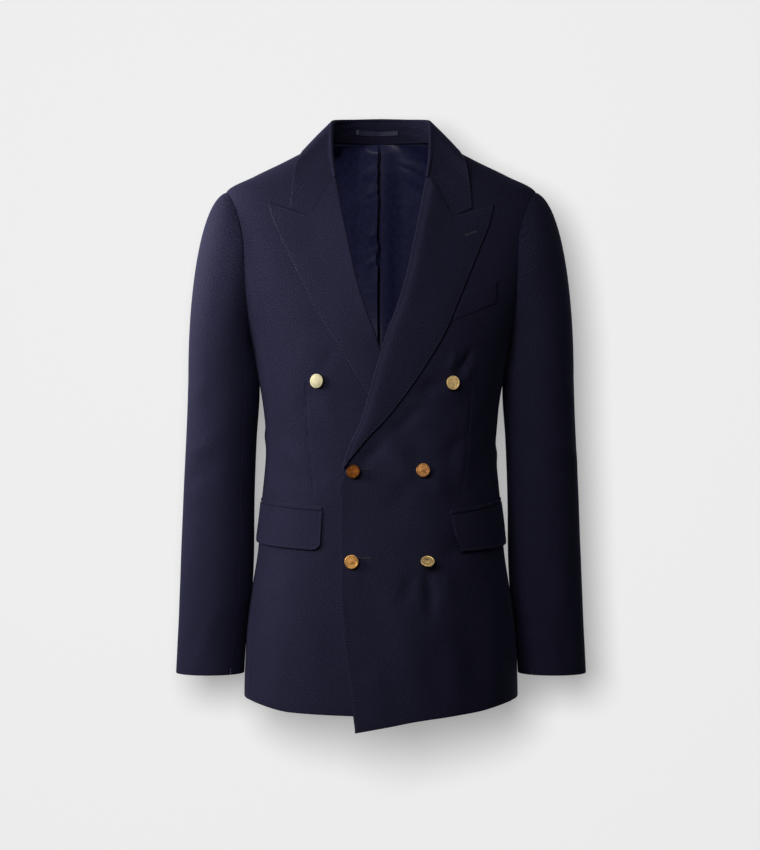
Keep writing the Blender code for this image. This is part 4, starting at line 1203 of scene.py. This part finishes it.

# %% [markdown]
# ## Stitching and buttonholes
#
# A hand pick stitch shows as a small thread every few millimetres, set a little in from the edge. Each is a
# stretched bead of six sides, all in one mesh for each row. The darts are seams; their line is a row of
# close beads in the dark painted-shade wool, which stands for the shade in the seam. Buttonholes are
# worked in close purl stitches round a slit.

# %% Stitches
# from one stitch to the next, length of a stitch, its width
PICK_STITCH, DART_STITCH = (4.2, 1.7, 0.55), (1.8, 2.6, 0.75)
STAND_STITCH, LOOP_STITCH = (3.0, 1.8, 0.4), (1.1, 1.3, 0.6)
BAR_LENGTH, BAR_WIDTH = 4.5, 0.9
STITCH_INSET = 2.6


def bead():
    """One stitch, 1 long and 1 wide, from points round three rings and two tips."""
    points, faces = [], []
    for s, r in ((-0.5, 0.0), (-0.3, 0.42), (0.0, 0.5), (0.3, 0.42), (0.5, 0.0)):
        count = 1 if r == 0 else 6
        points += [(s, r * math.cos(a * math.tau / 6), r * math.sin(a * math.tau / 6)) for a in range(count)]
    for a in range(6):
        b = (a + 1) % 6
        faces += [(0, 1 + b, 1 + a), (1 + a, 1 + b, 7 + b, 7 + a), (7 + a, 7 + b, 13 + b, 13 + a),
                  (13 + a, 13 + b, 19)]
    return np.array(points), faces


BEAD_POINTS, BEAD_FACES = bead()


def sew(name, seats, tangents, normals, length, width, material):
    """Stitches at the given places, as one mesh."""
    tangents = unit(tangents)
    across = unit(np.cross(normals, tangents))
    upward = unit(np.cross(tangents, across))
    local = BEAD_POINTS[None] * np.array((length, width, width * 0.8))
    points = (seats[:, None] + local[..., :1] * tangents[:, None] + local[..., 1:2] * across[:, None]
              + local[..., 2:] * upward[:, None])
    count = len(BEAD_POINTS)
    faces = [tuple(i + k * count for i in face) for k in range(len(seats)) for face in BEAD_FACES]
    mesh = bpy.data.meshes.new(name)
    mesh.from_pydata((points.reshape(-1, 3) * MM).tolist(), [], faces)
    mesh.materials.append(material)
    mesh.shade_smooth()
    piece = bpy.data.objects.new(name, mesh)
    coat.objects.link(piece)
    finish_piece(piece)


def along_line(line, normals, pitch):
    """Evenly spaced places on a line of points, with the line's direction and the cloth's normal there."""
    run = run_length(line)
    at = np.arange(pitch / 2, run[-1], pitch)
    place, ahead, behind, up = (
        np.stack([np.interp(where, run, values[:, k]) for k in range(3)], axis=-1)
        for where, values in ((at, line), (at + 0.5, line), (at - 0.5, line), (at, normals)))
    return place, ahead - behind, unit(up)


def sew_along(name, line, ups, stitch, silk, side=1, lift=0.05):
    """A row of stitches along a line, each lifted a little off the cloth."""
    pitch, length, width = stitch
    place, tangent, up = along_line(line, ups, pitch)
    flip = np.array((side, 1, 1))
    sew(name, (place + up * lift) * flip, tangent * flip, up * flip, length, width, silk)


def beside_edge(net, edge, distance):
    """The line on a net that lies a distance in from one of its edges, and the normals there."""
    lines, normals = faced(net, edge), faced(net_normals(net), edge)
    runs = run_length(lines)
    places, ups = [], []
    for c, run in enumerate(runs.T):
        k = max(min(int(np.searchsorted(run, distance)), len(lines) - 1), 1)
        share = (distance - run[k - 1]) / max(run[k] - run[k - 1], 1e-6)
        places.append(mix(lines[k - 1, c], lines[k, c], min(share, 1.0)))
        ups.append(normals[k, c])
    return np.array(places), np.array(ups)


def pick_stitch(name, net, edge, side=1, start=0):
    line, ups = beside_edge(net, edge, STITCH_INSET)
    sew_along(name, line[start:], ups[start:], PICK_STITCH, thread, side)


def sew_dart(name, side):
    """A line of close stitches down the front's dart, in the dark painted-shade wool that stands for the seam's
    shade.
    """
    z = np.linspace(DARTS[side][0][0], DARTS[side][-1][0], 60)
    x = curve(DARTS[side], 1, z)
    lift = overlap(x, z, side) + folds(FRONT_FOLDS[side], x, z) + dart_line(x, z, side) + 0.1
    line = skin(angle_at(x, z), z, lift)
    sew_along(name, line, skin(angle_at(x, z), z, lift + 1) - line, DART_STITCH, painted_shade_wool, side, 0.02)


# the point of the lapel's edge that clears the collar, and the row of the front that clears the lapel
LAPEL_TOP_START, FRONT_START = 27, 132
for hand, side in HANDS:
    pick_stitch(f"lapel_{hand}_stitches", lapel_nets[hand], "right", side)
    pick_stitch(f"lapel_{hand}_top_stitches", lapel_nets[hand], "top", side, LAPEL_TOP_START)
    pick_stitch(f"pocket_flap_{hand}_stitches", flap_nets[hand], "bottom", side)
    pick_stitch(f"pocket_flap_{hand}_end_stitches", flap_nets[hand], "left", side)
pick_stitch("front_left_stitches", body_nets["left"], "left", start=FRONT_START)
for hand, side in HANDS:
    sew_dart(f"front_{hand}_dart", side)
pick_stitch("collar_fall_stitches", fall_net, "right")
for count, (rise, silk) in enumerate(((6.0, pale_thread), (15.0, thread))):
    sew_along(f"collar_stand_stitches_{count}", *beside_edge(stand_net, "right", rise), STAND_STITCH, silk,
              lift=-CLOTH - 0.05)
ribbon_ups = net_normals(ribbon_net)
sew_along("hanger_loop_edge", ribbon_net[-1], ribbon_ups[-1], LOOP_STITCH, pale_thread, lift=0.1)
place, _, up = along_line(ribbon_net[:, -1], ribbon_ups[:, -1], LOOP_STITCH[0])
outward = np.broadcast_to((1.0, 0, 0), place.shape)
sew("hanger_loop_bar", place + up * 0.1 + outward, outward, up, BAR_LENGTH, BAR_WIDTH, pale_thread)
print("stitches sewn")


# %% Buttonholes
PURL_PITCH, PURL_REACH, PURL_FAN = 0.8, 0.75, (-0.8, 0.0, 0.8)
PURL_LENGTH, PURL_WIDTH = 1.5, 0.62


def buttonhole(name, x, z, length, slope, lift=0.0):
    """A worked slit: purl stitches stand across it on both sides and fan round its ends."""
    along = np.linspace(-length / 2, length / 2, int(length / PURL_PITCH))
    rows = [(a, edge * PURL_REACH, math.pi / 2) for edge in (-1, 1) for a in along]
    rows += [(end * (length / 2 + 0.7 * math.cos(fan)), PURL_REACH * math.sin(fan), fan)
             for end in (-1, 1) for fan in PURL_FAN]
    turn = math.radians(slope)
    a, b, lean = np.array(rows).T
    px, pz = x + a * math.cos(turn) - b * math.sin(turn), z + a * math.sin(turn) + b * math.cos(turn)
    out = overlap(px, pz, 1) + lift
    low, high = skin(angle_at(px, pz), pz, out), skin(angle_at(px, pz), pz, out + 1)
    tangents = np.stack((np.cos(turn + lean), 0 * lean, np.sin(turn + lean)), axis=-1)
    sew(name, mix(low, high, 0.12), tangents, high - low, PURL_LENGTH, PURL_WIDTH, buttonhole_thread)


buttonhole("buttonhole_middle", -24, -436, 14, 0)
buttonhole("buttonhole_bottom", -22, -552, 15, -2)
buttonhole("lapel_buttonhole", 119, -122, 15, 22, lift=3.9)
print("buttonholes worked")

# %% [markdown]
# ## The sheets
#
# A coat's pieces hang from the shoulders.

# %% [markdown]
# ## Backdrop and light
#
# The coat hangs in a plain pale room, close in front of its back wall. Soft lamps at the left, high, low
# and in front, light the coat alone, so that its right side falls into shade, and a weak one stands in the
# middle. A small lamp behind it at the left draws a bright rim on that sleeve, and one lights the lining
# through the neck. The lamp beside the camera lights only the walls, evenly, and lets the coat throw a soft
# shadow to its right.

# %% The room
ROOM = ((-4.5, 4.5), (-4.5, 0.23), (-1.1, 3.2))      # extent in x, y and z
PAPER_GLOW, WORLD_GLOW = 0.33, 0.01


def make_room():
    (x0, x1), (y0, y1), (z0, z1) = ROOM
    bpy.ops.object.select_all(action="DESELECT")
    bpy.ops.mesh.primitive_cube_add(size=1, location=((x0 + x1) / 2, (y0 + y1) / 2, (z0 + z1) / 2))
    room = bpy.context.object
    room.scale = (x1 - x0, y1 - y0, z1 - z0)
    bpy.ops.object.transform_apply(location=True, scale=True)
    bpy.ops.object.mode_set(mode="EDIT")
    bpy.ops.mesh.select_all(action="SELECT")
    bpy.ops.mesh.flip_normals()
    bpy.ops.object.mode_set(mode="OBJECT")
    put_in(room, studio)
    room.name = room.data.name = "studio_room"
    room.visible_diffuse = False
    return room


room = make_room()
paper, tree, shader = new_material("matt_paper")
shader.inputs["Base Color"].default_value = colour("e6e6e6")
shader.inputs["Roughness"].default_value = 1.0
shader.inputs["Specular IOR Level"].default_value = 0.0
shader.inputs["Emission Color"].default_value = (1, 1, 1, 1)
shader.inputs["Emission Strength"].default_value = PAPER_GLOW
outside = node(tree, "ShaderNodeNewGeometry").outputs["Backfacing"]
clear = node(tree, "ShaderNodeBsdfTransparent")
choose = node(tree, "ShaderNodeMixShader",
              inputs={0: outside, 1: shader.outputs["BSDF"], 2: clear.outputs["BSDF"]})
tree.links.new(choose.outputs["Shader"], tree.nodes["Material Output"].inputs["Surface"])
room.data.materials.append(paper)


# %% Lamps
def lamp(name, place, aim, size, power, lights, blockers=None):
    data = bpy.data.lights.new(name, "AREA")
    data.shape = "DISK"
    data.size = size
    data.energy = power
    made = bpy.data.objects.new(name, data)
    made.location = place
    made.rotation_euler = (Vector(aim) - Vector(place)).to_track_quat("-Z", "Y").to_euler()
    made.light_linking.receiver_collection = lights
    if blockers:
        made.light_linking.blocker_collection = blockers
    bpy.context.scene.collection.objects.link(made)
    return made


for hand, _ in HANDS:
    put_in(pieces[f"lining_{hand}"], inside)
lamp("side", (-2.05, -0.25, 0.4), (0, 0, -0.35), 0.9, 13, coat)
lamp("low_side", (-1.05, -0.55, -0.12), (0, -0.1, -0.2), 0.4, 6.0, coat)
lamp("front", (-0.42, -1.5, 0.3), (0, 0, -0.3), 0.8, 5.6, coat)
lamp("chest", (-0.65, -1.2, -0.05), (0, -0.1, -0.2), 0.45, 3.6, coat)
lamp("right", (0.05, -1.5, 0.45), (0.15, 0, -0.1), 0.5, 1.6, coat)
lamp("rim", (-0.62, 0.13, 0.0), (-0.24, 0, -0.11), 0.15, 3.0, coat, coat)
lamp("neck", (-1.15, -2.4, 0.6), (0, 0.1, -0.1), 0.2, 34, inside, inside)
# the wall's lamp is a soft ball whose light doesn't weaken with distance
wall = lamp("wall", (-0.27, -3.0, -0.085), (0, 0, -0.377), 0.9, 26.3, studio, coat)
wall.data.type = "POINT"
wall.data.shadow_soft_size = 0.44
wall.data.use_nodes = True
tree = wall.data.node_tree
even = node(tree, "ShaderNodeLightFalloff", inputs={"Strength": 1.0}).outputs["Constant"]
tree.links.new(even, tree.nodes["Emission"].inputs["Strength"])
world = bpy.data.worlds.new("world")
world.use_nodes = True
world.node_tree.nodes["Background"].inputs["Color"].default_value = (1, 1, 1, 1)
world.node_tree.nodes["Background"].inputs["Strength"].default_value = WORLD_GLOW
bpy.context.scene.world = world
bpy.context.scene.view_settings.view_transform = "Standard"
